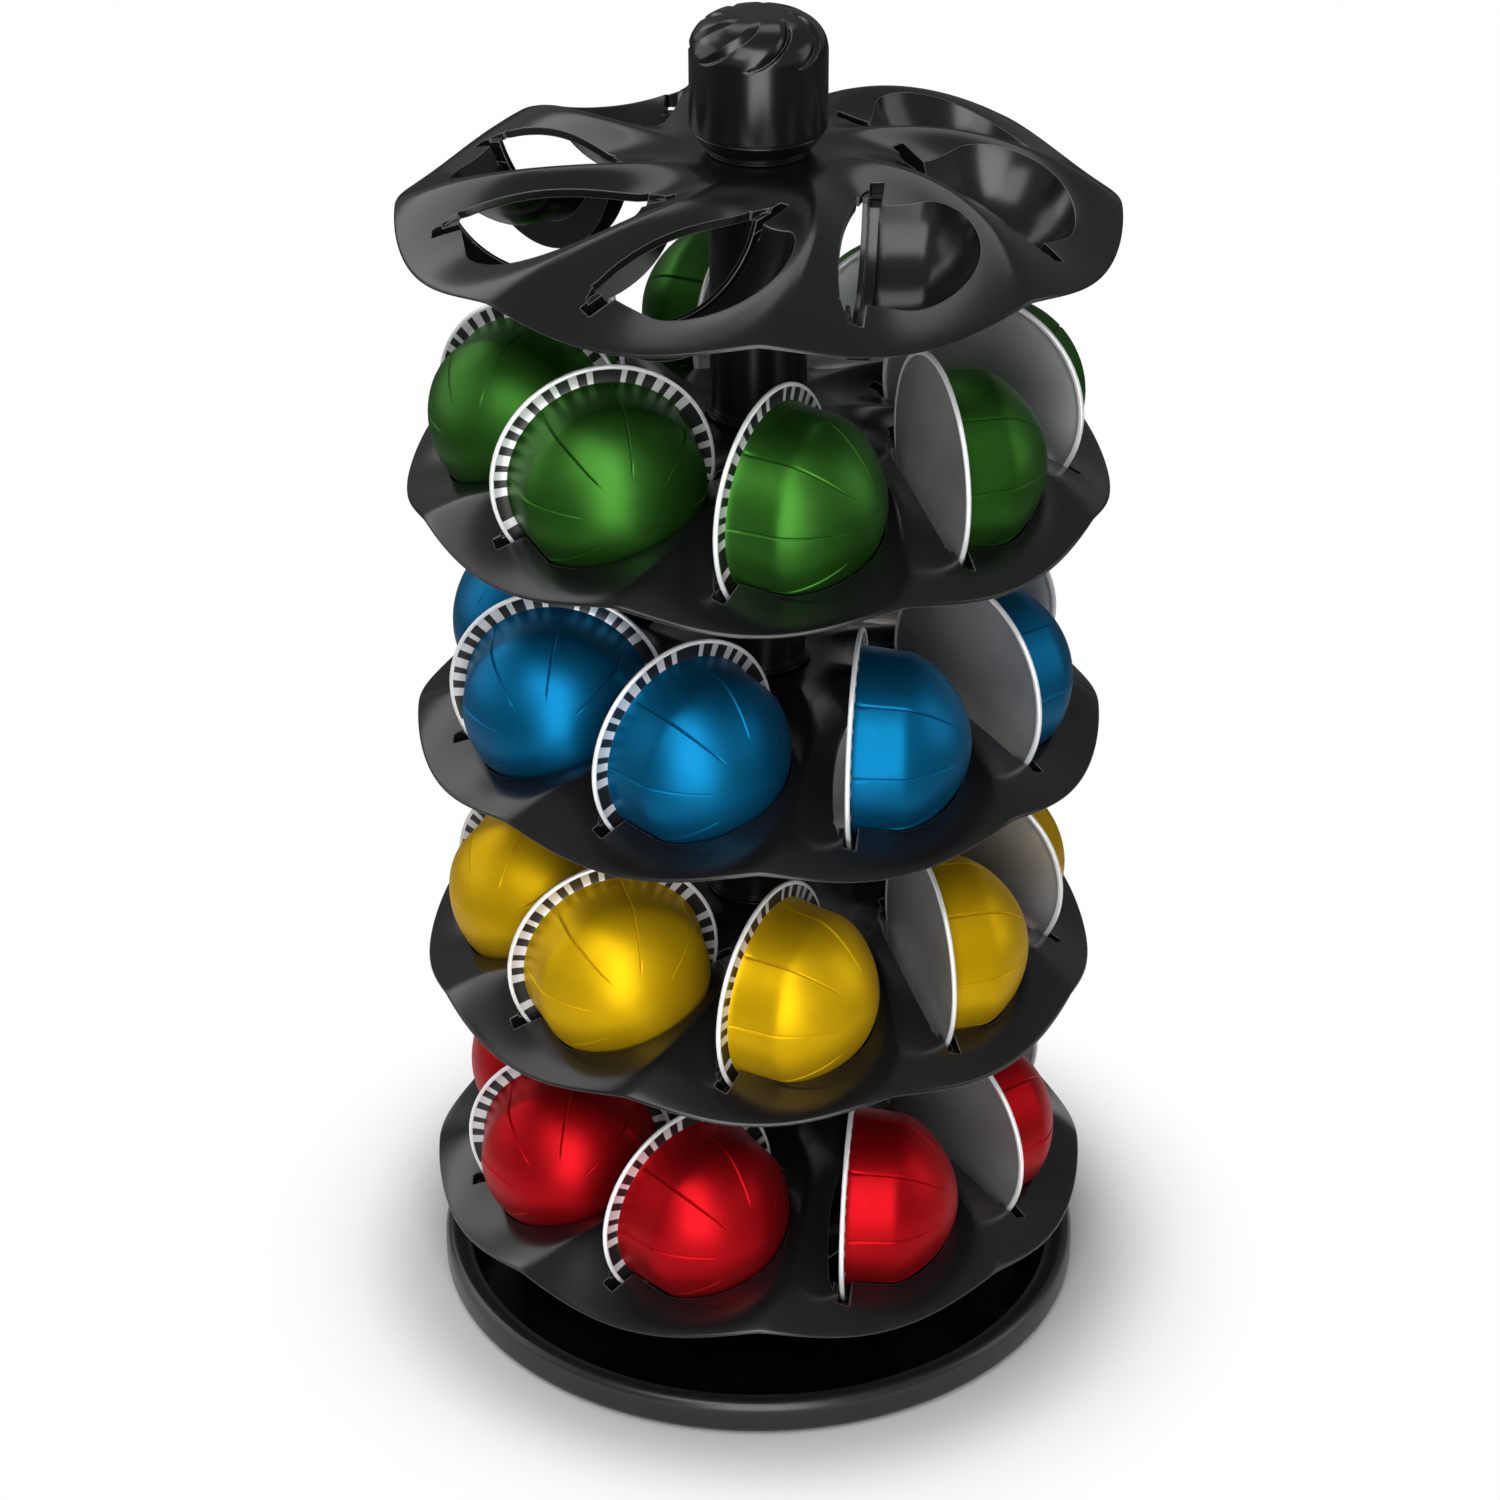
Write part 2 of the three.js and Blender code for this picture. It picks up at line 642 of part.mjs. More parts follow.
function carouselGroup() {
  const group = new THREE.Group();
  const upper = piece("bearing_upper_race", raceSolid(), steel);
  upper.rotation.x = Math.PI;
  upper.position.z = upperRaceLow + RACE_HEIGHT;
  group.add(upper, piece("turn_hub", turnHub(), blackPlastic));
  group.add(...poleSleeves(), ...tieParts(), ...topParts());
  const tier = tierSolid();
  const capsule = capsuleSolid();
  for (let i = 0; i < TIER_COUNT; i++) group.add(tierGroup(i, tier, capsule));
  return group;
}

const dispenser = new THREE.Group();
dispenser.add(baseGroup(), carouselGroup());

export default dispenser;
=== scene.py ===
import math

import bmesh
import bpy
import numpy as np
from mathutils import Euler, Matrix, Vector


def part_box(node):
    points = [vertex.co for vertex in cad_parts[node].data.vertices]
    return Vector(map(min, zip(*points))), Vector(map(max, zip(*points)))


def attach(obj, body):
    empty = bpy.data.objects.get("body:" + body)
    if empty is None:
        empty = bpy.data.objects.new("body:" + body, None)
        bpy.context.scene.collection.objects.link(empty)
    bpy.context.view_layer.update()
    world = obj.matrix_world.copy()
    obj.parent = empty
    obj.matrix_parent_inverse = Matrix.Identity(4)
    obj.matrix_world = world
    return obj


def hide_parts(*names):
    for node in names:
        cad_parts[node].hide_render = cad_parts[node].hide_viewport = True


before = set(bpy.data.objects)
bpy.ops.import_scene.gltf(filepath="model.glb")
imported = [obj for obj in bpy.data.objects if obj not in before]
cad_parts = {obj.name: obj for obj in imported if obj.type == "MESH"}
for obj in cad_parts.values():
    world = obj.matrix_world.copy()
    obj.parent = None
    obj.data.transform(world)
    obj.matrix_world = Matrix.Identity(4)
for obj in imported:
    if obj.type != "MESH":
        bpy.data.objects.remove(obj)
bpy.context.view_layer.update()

# Metres, in the frame of the solids: +Z runs up along the pole, and the front faces -Y.
DEGREE = math.pi / 180
FULL_TURN = 2 * math.pi

# Layout of the tiers
TIER_COUNT = 5
POCKET_COUNT = 8
TIER_SPACING = 0.076
FIRST_RIM_HEIGHT = 0.0391  # the lowest rim's crests above the table
PITCH = FULL_TURN / POCKET_COUNT

# Swirled sheet of a tier; heights are above the rim's crests
TIER_RADIUS = 0.098
SHEET_THICKNESS = 0.0022
SHEET_EDGE_RADIUS = 0.0004
RIM_THINNING = 0.0012  # of the sheet from below, towards its rim
RIM_THINNING_REACH = 0.009
HUB_RADIUS = 0.0176  # flat middle
HUB_RISE = 0.0149
RIM_WAVE = 0.0049  # valleys below the ridges at the rim
VALLEY_GROWTH = 0.0114
VALLEY_FADE_SHARE = 0.3
RIDGE_SWIRL = 30.4 * DEGREE
SWIRL_BEND_SHARE = 0.16
CREST_SHARPNESS = 1.3
RIDGE_SHARES = (0, 1.18, 1.22, 1)  # Bezier heights of a ridge from rim to hub, of HUB_RISE
SHEET_COLUMNS = 256
SHEET_RINGS = 34  # outside the flat middle
SHEET_INNER_SHARE = 0.6  # of HUB_RADIUS, where the flat middle has a ring of its own
SHEET_BORE_ROOM = 0.0004  # of the sheet outside the hub's bore

# Capsule, along its axis from the middle of its flange
FLANGE_RADIUS = 0.031
FLANGE_THICKNESS = 0.0014
FLANGE_SINK = 0.0002  # of both faces below the rolled edge
ROLL_STEPS = 8  # round the rolled edge
FOIL_STEP = ((0.0022, 0), (0.0014, 0.0001), (0.0007, 0))  # inside the roll, and how deep
TICKS_START = 0.0004  # inside the roll
BODY_RADIUS = 0.0262  # where the body leaves the flange
NECK = ((0.0006, 0), (0.0002, 0.00015), (0, 0.0006))  # beyond the body, and over the flange
BODY_DRAFT = 0.093  # of the radius lost with depth
STRAIGHT_DEPTH = 0.014
STRAIGHT_SHARES = (0.15, 0.35, 0.55, 0.75, 0.9)  # rings of faces up the straight part
DOME_DEPTH = 0.0314
DOME_POWER = 1.5  # of the dome's curve: 2 is an ellipse, and less is more pointed
DOME_STEPS = 24
CREASE_COUNT = 8
CREASE_DEPTH = 0.00045
CREASE_HALF_WIDTH = 0.00055
CREASE_END_SHARE = 0.63  # of the dome's quarter turn
CREASE_PHASE = 28.5 * DEGREE
CREASE_START = 0.0012  # over the flange
CREASE_START_FADE = 0.001
CREASE_END_FADE = 0.0015
CREASE_ACROSS = (-2, -1, -0.5, 0, 0.5, 1, 2)  # columns of faces, in half widths
CREASE_BETWEEN = (0.16, 0.27, 0.38, 0.5, 0.62, 0.73, 0.84)  # of the way to the next crease
TICK_COUNT = 37
TICK_WIDTH_SHARE = 0.15  # half of the narrowest tick, of a tick's cell
TICK_SPREAD_SHARE = 0.17
TICK_START_SHARE = 0.36  # middle of the first tick in its cell
TICK_SHIFT_SHARE = 0.28
TICK_GAP_SHARE = 0.12  # cells without a tick
TICK_BLACK = (0.008, 0.008, 0.009)
TICK_SILVER = (0.62, 0.62, 0.63)
TICK_METALLIC = 0.4
TICK_ROUGHNESS = 0.34
TICK_GRAIN_SCALE = 900
TICK_GRAIN = 0.00001

# Pocket: where the middle of its capsule's flange sits, and how the slot runs
POCKET_RADIUS = 0.0621
POCKET_RISE = 0.0174
POCKET_AZIMUTH = 25.7 * DEGREE
SLOT_SWIRL = 31.9 * DEGREE
SLOT_FALL = 11.8 * DEGREE
FLANGE_LIFT = 0.0113  # of its middle over the slot
BODY_ROOM = 0.0007  # round the capsule's body
GROOVE_WIDTH = 0.0029
GROOVE_OFFSET = 0.00025  # towards the dome
GROOVE_ROOM = 0.00105
LIP_THICKNESS = 0.0015
CUP_WALL = 0.0018
RING_WALL = 0.0042  # round the groove, wide enough to close the slot's ends from below
WINDOW_WIDTH = 0.0048
WINDOW_STEPS = 14
CUP_STEPS = 16
ROOM_STEPS = 18
POCKET_SEGMENTS = 128
MOUTH_RADIUS = 0.0276  # of the lip's opening
NOTCH_REACH = 0.0032  # of the slot past the flange's chord, at each end
NOTCH_DEPTH = 0.004
NOTCH_WIDTH = 0.0038
NOTCH_OFFSET = 0.0006
NOTCH_CORNER = 0.0006
GROOVE_RADIUS = FLANGE_RADIUS + GROOVE_ROOM
GROOVE_LOW = GROOVE_OFFSET - GROOVE_WIDTH / 2
GROOVE_HIGH = GROOVE_OFFSET + GROOVE_WIDTH / 2
LIP_FACE = GROOVE_LOW - LIP_THICKNESS

# Pole
SLEEVE_RADIUS = 0.0134
SLEEVE_BORE = 0.011
RING_RADIUS = 0.0149
COLLAR_RADIUS = 0.0140
RING_HEIGHT = 0.0012
RING_STEP = 0.0004  # of the lower step over the sleeve
COLLAR_RING_SHARE = 0.3  # of the collar's height, each of its two rings
COLLAR_WAIST_START = 1.2  # of a ring's height
HUB_BORE = 0.0033
SPIGOT_RADIUS = 0.0103
SPIGOT_HEIGHT = 0.003
SPIGOT_FILLET = 0.0003

# Base and turn hub
BASE_RADIUS = 0.097
BASE_RIM_HEIGHT = 0.0114
BASE_RIM_CREST = 0.0025  # from the outside
BASE_RIM_WIDTH = 0.008
BASE_WALL_HEIGHT = 0.0083  # where the rim's roll starts
BASE_LIP_HEIGHT = 0.0078  # where it ends inside
BASE_BEVEL_WIDTH = 0.0012  # round the underside
BASE_BEVEL_TOP = 0.0024
BASE_SEGMENTS = 160
DISH_HEIGHT = 0.0065
DISH_REACH = 0.0001  # of the glossy faces into the rim
DISH_LOWEST = 0.001  # of the glossy faces below the dish's floor
FOOT_PROUD = 0.001
FOOT_RADIUS = 0.008
FOOT_DEPTH = 0.002
FOOT_CIRCLE = 0.078
FOOT_COUNT = 4
FOOT_ROOM = 0.0003  # of a pad's recess
RECESS_START = -0.001  # of the cutter, under the table
FOOT_BEVEL_WIDTH = 0.0012
FOOT_BEVEL_TOP = 0.0006
FOOT_SEGMENTS = 64
RECESS_SEGMENTS = 48
BOSS_RADIUS = 0.029
BOSS_HEIGHT = 0.013
BOSS_ROOF = 0.0036
NUT_ROOM_RADIUS = 0.013
RACE_SEAT_OUTER = 0.0258
RACE_SEAT_INNER = 0.0147
RACE_SEAT_LOW = 0.0112
RACE_TOP = 0.0205
TURN_HUB_RADIUS = 0.033
TURN_HUB_WALL = 0.002  # of its skirt
TURN_HUB_NECK = 0.002  # of its shoulder outside the sleeve's ring
TURN_HUB_STEP = 0.0015
TURN_HUB_FILLET = 0.002
RACE_GAP = 0.0003

# Knob
KNOB_RADIUS = 0.0186
KNOB_FOOT_RADIUS = 0.0150
KNOB_BAND_HEIGHT = 0.0046
KNOB_GROOVE = 0.0005
KNOB_GROOVE_BELOW = 0.0004  # of the groove's opening, under its middle
KNOB_GROOVE_ABOVE = 0.0003
KNOB_DOME = 0.0098
KNOB_DISC_RADIUS = 0.0066
KNOB_RING = 0.0003  # narrow ring of faces under the flutes, which keeps the side evenly round
KNOB_COLUMNS = 360
CROWN_ROWS = 56
INSERT_ROOM_RADIUS = 0.0053
INSERT_ROOM_DEPTH = 0.0163
SPIGOT_ROOM = 0.0011  # recess under the knob for the top tier's spigot
FLUTE_COUNT = 8
FLUTE_SPAN = 48 * DEGREE  # turn of a flute from its lower tip to the disc
FLUTE_LEAD = 0.42  # how early its upper edge turns: less is earlier
FLUTE_START = -0.08  # its lower tip, as a share of the crown's height
FLUTE_TOP_WIDTH = 18 * DEGREE  # left between its edges at the disc
FLUTE_DEPTH = 0.0019
FLUTE_CREST = 0.86  # of its width, where it is deepest
FLUTE_HOLLOW = 1.15  # power of the depth across it: 1 is a straight slope
FLUTE_RISE = 0.45  # power of the depth's growth from the lower tip
FLUTE_TOP_POWER = 9  # of its end at the disc: more is more sudden
FLUTE_TOP_LEAD_POWER = 3  # how late it widens to its top width: more is later
FLUTE_PHASE = -105 * DEGREE

# Painted highlight: a pale tone along the edges of the mouldings, set by the likeness of the
# softened normal to the true one
HIGHLIGHT_START = 0.985
HIGHLIGHT_FULL = 0.8
HIGHLIGHT_SHARE = 0.55  # of the softened edge
EDGE_HIGHLIGHT_TONE = (0.26, 0.26, 0.26)
HIGHLIGHT_SAMPLES = 6
EDGE_SAMPLES = 4

# Scales of the noise in the materials, in cells to a metre, and the span of it that tints
MOTTLE_SCALE = 45
SHEEN_SCALE = 18
GRAIN_SCALE = 2600
GRAIN_DETAIL = 2
METAL_TINT_SCALE = 60
METAL_SHEEN_SCALE = 150
TINT_SPAN = (0.3, 0.7)
PLASTIC_BUMP = 0.5  # strength of the bump
METAL_BUMP = 0.6
POLE_DARK = (0.003, 0.003, 0.0035)
POLE_LIGHT = (0.005, 0.005, 0.0055)

# Rounding of the turned pieces
SEGMENTS = 96
FILLET_STEPS = 5
FILLET_SHARE = 0.45  # most that a fillet takes of the edge beside it
GROOVE_FILLET = 0.0001
FINE_FILLET = 0.0002
SMALL_FILLET = 0.0004
EDGE_FILLET = 0.0005
BOSS_FILLET = 0.0006
BROAD_FILLET = 0.0008
WIDE_FILLET = 0.001
RIM_STEPS = 8  # over each half of the base's rim

# Meshes
WELD_DISTANCE = 1e-6
FLAT_DISTANCE = 1e-7
SMOOTH_ANGLE = 35 * DEGREE


def mesh_from(name, rows, wrap_rows):
    """Mesh over rows of points, each a loop; a row of one repeated point closes as a pole."""
    rows = np.asarray(rows, float)
    count, columns, _ = rows.shape
    near = np.arange(columns)
    beside = (near + 1) % columns
    last = count if wrap_rows else count - 1
    faces = []
    for i in range(last):
        a, b = i * columns, ((i + 1) % count) * columns
        faces.append(np.stack([a + near, a + beside, b + beside, b + near], axis=1))
    mesh = bpy.data.meshes.new(name)
    mesh.from_pydata(rows.reshape(-1, 3).tolist(), [], np.concatenate(faces).tolist())
    return cleaned(mesh)


def cleaned(mesh):
    """Joins the points of each pole and drops the faces that have no area."""
    bm = bmesh.new()
    bm.from_mesh(mesh)
    bmesh.ops.remove_doubles(bm, verts=bm.verts, dist=WELD_DISTANCE)
    bmesh.ops.dissolve_degenerate(bm, edges=bm.edges, dist=FLAT_DISTANCE)
    bmesh.ops.recalc_face_normals(bm, faces=bm.faces)
    bm.to_mesh(mesh)
    bm.free()
    return mesh


def lathe(name, profile, segments=SEGMENTS, closed=False):
    """Solid turned about Z from (radius, height) points."""
    angles = np.arange(segments) * FULL_TURN / segments
    rows = [
        np.stack([r * np.cos(angles), r * np.sin(angles), np.full(segments, z)], axis=1)
        for r, z in profile
    ]
    return mesh_from(name, rows, closed)


def filleted(profile, radius, closed=False):
    """The profile with its corners rounded, but not its two ends when it is open."""
    points = [Vector(p[:2]) for p in profile]
    radii = [p[2] if len(p) > 2 else radius for p in profile]
    count = len(points)
    out = []
    for i, corner in enumerate(points):
        if not closed and i in (0, count - 1):
            out.append(tuple(corner))
            continue
        before = points[i - 1] - corner
        after = points[(i + 1) % count] - corner
        reach = min(radii[i], before.length * FILLET_SHARE, after.length * FILLET_SHARE)
        start = corner + before.normalized() * reach
        end = corner + after.normalized() * reach
        for step in range(FILLET_STEPS + 1):
            t = step / FILLET_STEPS
            out.append(tuple(start * (1 - t) ** 2 + corner * (2 * t * (1 - t)) + end * t**2))
    return out


def new_object(name, mesh):
    mesh.shade_smooth()
    mesh.set_sharp_from_angle(angle=SMOOTH_ANGLE)
    obj = bpy.data.objects.new(name, mesh)
    bpy.context.scene.collection.objects.link(obj)
    return obj


def boolean(target, tool, operation):
    """Mesh of target joined to, cut by or kept inside tool. Both objects are used up."""
    modifier = target.modifiers.new("cut", "BOOLEAN")
    modifier.object = tool
    modifier.operation = operation
    modifier.solver = "MANIFOLD"
    bpy.context.view_layer.update()
    depsgraph = bpy.context.evaluated_depsgraph_get()
    mesh = bpy.data.meshes.new_from_object(target.evaluated_get(depsgraph))
    target.modifiers.clear()
    target.data = mesh
    bpy.data.objects.remove(tool)
    return target


# The swirled sheet


def inward_share(radius):
    return min(max((TIER_RADIUS - radius) / (TIER_RADIUS - HUB_RADIUS), 0), 1)


def ridge_height(share):
    a, b, c, d = RIDGE_SHARES
    rest = 1 - share
    bend = a * rest**3 + 3 * b * share * rest**2 + 3 * c * share**2 * rest + d * share**3
    return HUB_RISE * bend


def valley_depth(share):
    t = min(max((share - VALLEY_FADE_SHARE) / (1 - VALLEY_FADE_SHARE), 0), 1)
    fade = t * t * (3 - 2 * t)
    return (RIM_WAVE + VALLEY_GROWTH * share) * (1 - fade)


def ridge_azimuth(share):
    return RIDGE_SWIRL * share * (1 + (share - 1) * SWIRL_BEND_SHARE)


def sheet_row(radius, drop):
    share = inward_share(radius)
    angle = np.arange(SHEET_COLUMNS) * FULL_TURN / SHEET_COLUMNS
    wave = np.abs(np.sin(angle * POCKET_COUNT / 2)) ** CREST_SHARPNESS
    azimuth = angle + ridge_azimuth(share)
    height = ridge_height(share) - valley_depth(share) * wave - drop
    return np.stack([radius * np.cos(azimuth), radius * np.sin(azimuth), height], axis=1)


def rim_thinning(radius):
    t = min(max((radius - TIER_RADIUS) / RIM_THINNING_REACH + 1, 0), 1)
    return RIM_THINNING * t * t


def sheet_slab(name, outer, top_drop, bottom_drop, edge=0.0):
    """Closed slab under the sheet's top face. An edge radius thins and rounds its rim."""
    radii = [HUB_BORE + SHEET_BORE_ROOM, HUB_RADIUS * SHEET_INNER_SHARE]
    for i in range(SHEET_RINGS + 1):
        radii.append(HUB_RADIUS + (outer - edge - HUB_RADIUS) * i / SHEET_RINGS)
    rows = [sheet_row(radius, top_drop) for radius in radii]
    if edge:
        rim_drop = bottom_drop - rim_thinning(outer)
        for middle, start in ((top_drop + edge, 90), (rim_drop - edge, 0)):
            for step in range(1, FILLET_STEPS):
                turn = (start - 90 * step / FILLET_STEPS) * DEGREE
                radius = outer - edge + edge * math.cos(turn)
                rows.append(sheet_row(radius, middle - edge * math.sin(turn)))
    for radius in reversed(radii):
        rows.append(sheet_row(radius, bottom_drop - (rim_thinning(radius) if edge else 0)))
    return new_object(name, mesh_from(name, rows, True))


# A pocket and its capsule, in the frame of its seat


def pocket_seat(index):
    """Frame of a pocket: X runs outwards along the slot, Y points from the foil to the dome."""
    turn = Matrix.Rotation(POCKET_AZIMUTH + index * PITCH, 4, "Z")
    place = Matrix.Translation((POCKET_RADIUS, 0, POCKET_RISE))
    return turn @ place @ Matrix.Rotation(-SLOT_SWIRL, 4, "Z") @ Matrix.Rotation(SLOT_FALL, 4, "Y")


def tier_place(index):
    lift = Matrix.Translation((0, 0, FIRST_RIM_HEIGHT + index * TIER_SPACING))
    return lift @ Matrix.Rotation((index % 2) * PITCH / 2, 4, "Z")


# Turned pieces are built about Z; a pocket's and a capsule's axis is the seat's Y.
SEAT_AXIS = Matrix.Rotation(-90 * DEGREE, 4, "X")


def body_radius(height):
    """Radius of the capsule's body at a height over its flange: a slight cone, then the dome."""
    cone = BODY_RADIUS - BODY_DRAFT * height
    share = min(max((height - STRAIGHT_DEPTH) / (DOME_DEPTH - STRAIGHT_DEPTH), 0), 1)
    return cone * math.sqrt(1 - share**DOME_POWER)


def body_profile(room, steps):
    """Points (radius, height) up the body's straight part and round its dome, with room outside."""
    straight = [STRAIGHT_DEPTH * share for share in STRAIGHT_SHARES]
    points = [(body_radius(height) + room, height) for height in straight]
    rise = DOME_DEPTH - STRAIGHT_DEPTH
    for step in range(steps + 1):
        turn = 90 * DEGREE * step / steps
        height = STRAIGHT_DEPTH + rise * math.sin(turn)
        radius = 0 if step == steps else body_radius(height) + room * math.cos(turn)
        points.append((radius, height + room * math.sin(turn)))
    return points


def pocket_shell():
    cup = body_profile(BODY_ROOM + CUP_WALL, CUP_STEPS)
    ring = GROOVE_RADIUS + RING_WALL
    end = GROOVE_HIGH + CUP_WALL
    rim = [(0, LIP_FACE), (ring, LIP_FACE), (ring, end), (cup[0][0], end)]
    mesh = lathe("pocket_shell", rim + [point for point in cup if point[1] > end])
    mesh.transform(SEAT_AXIS)
    return new_object("pocket_shell", mesh)


def pocket_room():
    """Space for the capsule, open through the lip's mouth on its foil side."""
    cup = [point for point in body_profile(BODY_ROOM, ROOM_STEPS) if point[1] > GROOVE_HIGH]
    front = LIP_FACE - LIP_THICKNESS
    section = [
        (0, front),
        (MOUTH_RADIUS, front),
        (MOUTH_RADIUS, GROOVE_LOW),
        (GROOVE_RADIUS, GROOVE_LOW),
        (GROOVE_RADIUS, GROOVE_HIGH),
        (BODY_RADIUS + BODY_ROOM, GROOVE_HIGH),
    ]
    mesh = lathe("pocket_room", section + cup, POCKET_SEGMENTS)
    mesh.transform(SEAT_AXIS)
    return new_object("pocket_room", mesh)


def pocket_window():
    """Flat half ellipsoid that cuts the lens-shaped window out of the sheet, beside the slot."""
    section = [(0, GROOVE_LOW - WINDOW_WIDTH)]
    for step in range(1, WINDOW_STEPS + 1):
        turn = 90 * DEGREE * step / WINDOW_STEPS
        section.append((GROOVE_RADIUS * math.sin(turn), GROOVE_LOW - WINDOW_WIDTH * math.cos(turn)))
    section += [(GROOVE_RADIUS, GROOVE_HIGH), (0, GROOVE_HIGH)]
    mesh = lathe("pocket_window", section, POCKET_SEGMENTS)
    mesh.transform(SEAT_AXIS)
    return new_object("pocket_window", mesh)


def slot_notch():
    """Blunt cutter that carries the slot past the groove at both of its ends."""
    chord = math.sqrt(GROOVE_RADIUS**2 - FLANGE_LIFT**2)
    reach, half = chord + NOTCH_REACH, NOTCH_WIDTH / 2
    corners = [(reach, -half), (reach, half), (-reach, half), (-reach, -half)]
    outline = filleted([(x, NOTCH_OFFSET + y) for x, y in corners], NOTCH_CORNER, True)
    low, high = -FLANGE_LIFT - NOTCH_DEPTH, -FLANGE_LIFT + NOTCH_DEPTH * 2
    rows = [[(0, NOTCH_OFFSET, low)] * len(outline)]
    rows += [[(x, y, z) for x, y in outline] for z in (low, high)]
    rows.append([(0, NOTCH_OFFSET, high)] * len(outline))
    return new_object("slot_notch", mesh_from("slot_notch", rows, False))


def placed_copy(source, matrix):
    copy = bpy.data.objects.new(source.name + "_copy", source.data.copy())
    copy.data.transform(matrix)
    bpy.context.scene.collection.objects.link(copy)
    return copy


def tier_mesh():
    middle = SHEET_THICKNESS / 2
    tier = sheet_slab("tier", TIER_RADIUS, 0, SHEET_THICKNESS, SHEET_EDGE_RADIUS)
    under = sheet_slab("under", TIER_RADIUS - middle, middle, TIER_SPACING)
    low = HUB_RISE - SHEET_THICKNESS - SPIGOT_HEIGHT
    high = HUB_RISE + SPIGOT_HEIGHT
    spigot = [(HUB_BORE, low), (SPIGOT_RADIUS, low), (SPIGOT_RADIUS, high), (HUB_BORE, high)]
    hub = new_object("hub", lathe("hub", filleted(spigot, SPIGOT_FILLET, True), closed=True))
    tier = boolean(tier, hub, "UNION")
    shell, room, window, notch = pocket_shell(), pocket_room(), pocket_window(), slot_notch()
    for piece in (shell, room, window, notch):
        piece.data.transform(pocket_seat(0))
    shell = boolean(shell, under, "INTERSECT")
    turns = [Matrix.Rotation(i * PITCH, 4, "Z") for i in range(POCKET_COUNT)]
    for turn in turns:
        tier = boolean(tier, placed_copy(window, turn), "DIFFERENCE")
    for turn in turns:
        tier = boolean(tier, placed_copy(shell, turn), "UNION")
    for turn in turns:
        tier = boolean(tier, placed_copy(room, turn), "DIFFERENCE")
        tier = boolean(tier, placed_copy(notch, turn), "DIFFERENCE")
    mesh = tier.data
    for obj in (tier, shell, room, window, notch):
        bpy.data.objects.remove(obj)
    return mesh


def capsule_profile():
    """Points (radius, height, part) from the middle of the foil to the tip of the dome."""
    half = FLANGE_THICKNESS / 2
    face = half - FLANGE_SINK
    roll = FLANGE_RADIUS - half
    points = [(0, -face, "foil"), (roll * 0.5, -face, "foil")]
    for (inside, sink), part in zip(FOIL_STEP, ("foil", "foil", "edge")):
        points.append((roll - inside, -face + sink, part))
    for step in range(ROLL_STEPS + 1):
        turn = (-90 + 180 * step / ROLL_STEPS) * DEGREE
        points.append((roll + half * math.cos(turn), half * math.sin(turn), "edge"))
    points.append((roll - TICKS_START, face, "ticks"))
    for (beyond, rise), part in zip(NECK, ("ticks", "body", "body")):
        points.append((BODY_RADIUS + beyond, face + rise, part))
    return points + [(radius, z, "body") for radius, z in body_profile(0, DOME_STEPS)]


def crease_angles():
    """Angles round the capsule, closer together across each crease."""
    step = FULL_TURN / CREASE_COUNT
    across = [CREASE_HALF_WIDTH / BODY_RADIUS * share for share in CREASE_ACROSS]
    cell = across + [step * share for share in CREASE_BETWEEN]
    return np.array([CREASE_PHASE + i * step + a for i in range(CREASE_COUNT) for a in cell])


def crease_sink(angles, height):
    """How deep the creases are at that height: full along the side, gone before the tip."""
    step = FULL_TURN / CREASE_COUNT
    off = (angles - CREASE_PHASE + step / 2) % step - step / 2
    across = np.clip(1 - np.abs(off) * BODY_RADIUS / CREASE_HALF_WIDTH, 0, 1)
    rise = DOME_DEPTH - STRAIGHT_DEPTH
    end = STRAIGHT_DEPTH + rise * math.sin(CREASE_END_SHARE * 90 * DEGREE)
    fade_in = min(max((height - CREASE_START) / CREASE_START_FADE, 0), 1)
    fade_out = min(max((end - height) / CREASE_END_FADE, 0), 1)
    return CREASE_DEPTH * across * fade_in * fade_out


def capsule_mesh(name, materials):
    profile = capsule_profile()
    angles = crease_angles()
    rows = []
    for radius, height, part in profile:
        creased = part == "body" and radius > 0
        sunk = radius - (crease_sink(angles, height) if creased else 0)
        level = np.full(len(angles), height)
        rows.append(np.stack([sunk * np.cos(angles), sunk * np.sin(angles), level], axis=1))
    columns = len(angles)
    parts = [part for _, _, part in profile]
    order = ["foil", "edge", "ticks", "body"]
    mesh = bpy.data.meshes.new(name)
    points = np.concatenate(rows).tolist()
    faces, slots = [], []
    for i in range(len(rows) - 1):
        low, high = i * columns, (i + 1) * columns
        for j in range(columns):
            k = (j + 1) % columns
            faces.append((low + j, low + k, high + k, high + j))
            slots.append(order.index(parts[i]))
    mesh.from_pydata(points, [], faces)
    for part in order:
        mesh.materials.append(materials[part])
    mesh.polygons.foreach_set("material_index", slots)
    return cleaned(mesh)


# Materials


def node_material(name):
    material = bpy.data.materials.new(name)
    material.use_nodes = True
    nodes, links = material.node_tree.nodes, material.node_tree.links
    return material, nodes, links, nodes["Principled BSDF"]


def object_noise(nodes, links, scale, detail=3.0):
    place = nodes.new("ShaderNodeTexCoord")
    noise = nodes.new("ShaderNodeTexNoise")
    noise.inputs["Scale"].default_value = scale
    noise.inputs["Detail"].default_value = detail
    links.new(place.outputs["Object"], noise.inputs["Vector"])
    return noise.outputs["Fac"]


def mapped(nodes, links, value, low, high):
    span = nodes.new("ShaderNodeMapRange")
    span.inputs["To Min"].default_value = low
    span.inputs["To Max"].default_value = high
    links.new(value, span.inputs["Value"])
    return span.outputs["Result"]


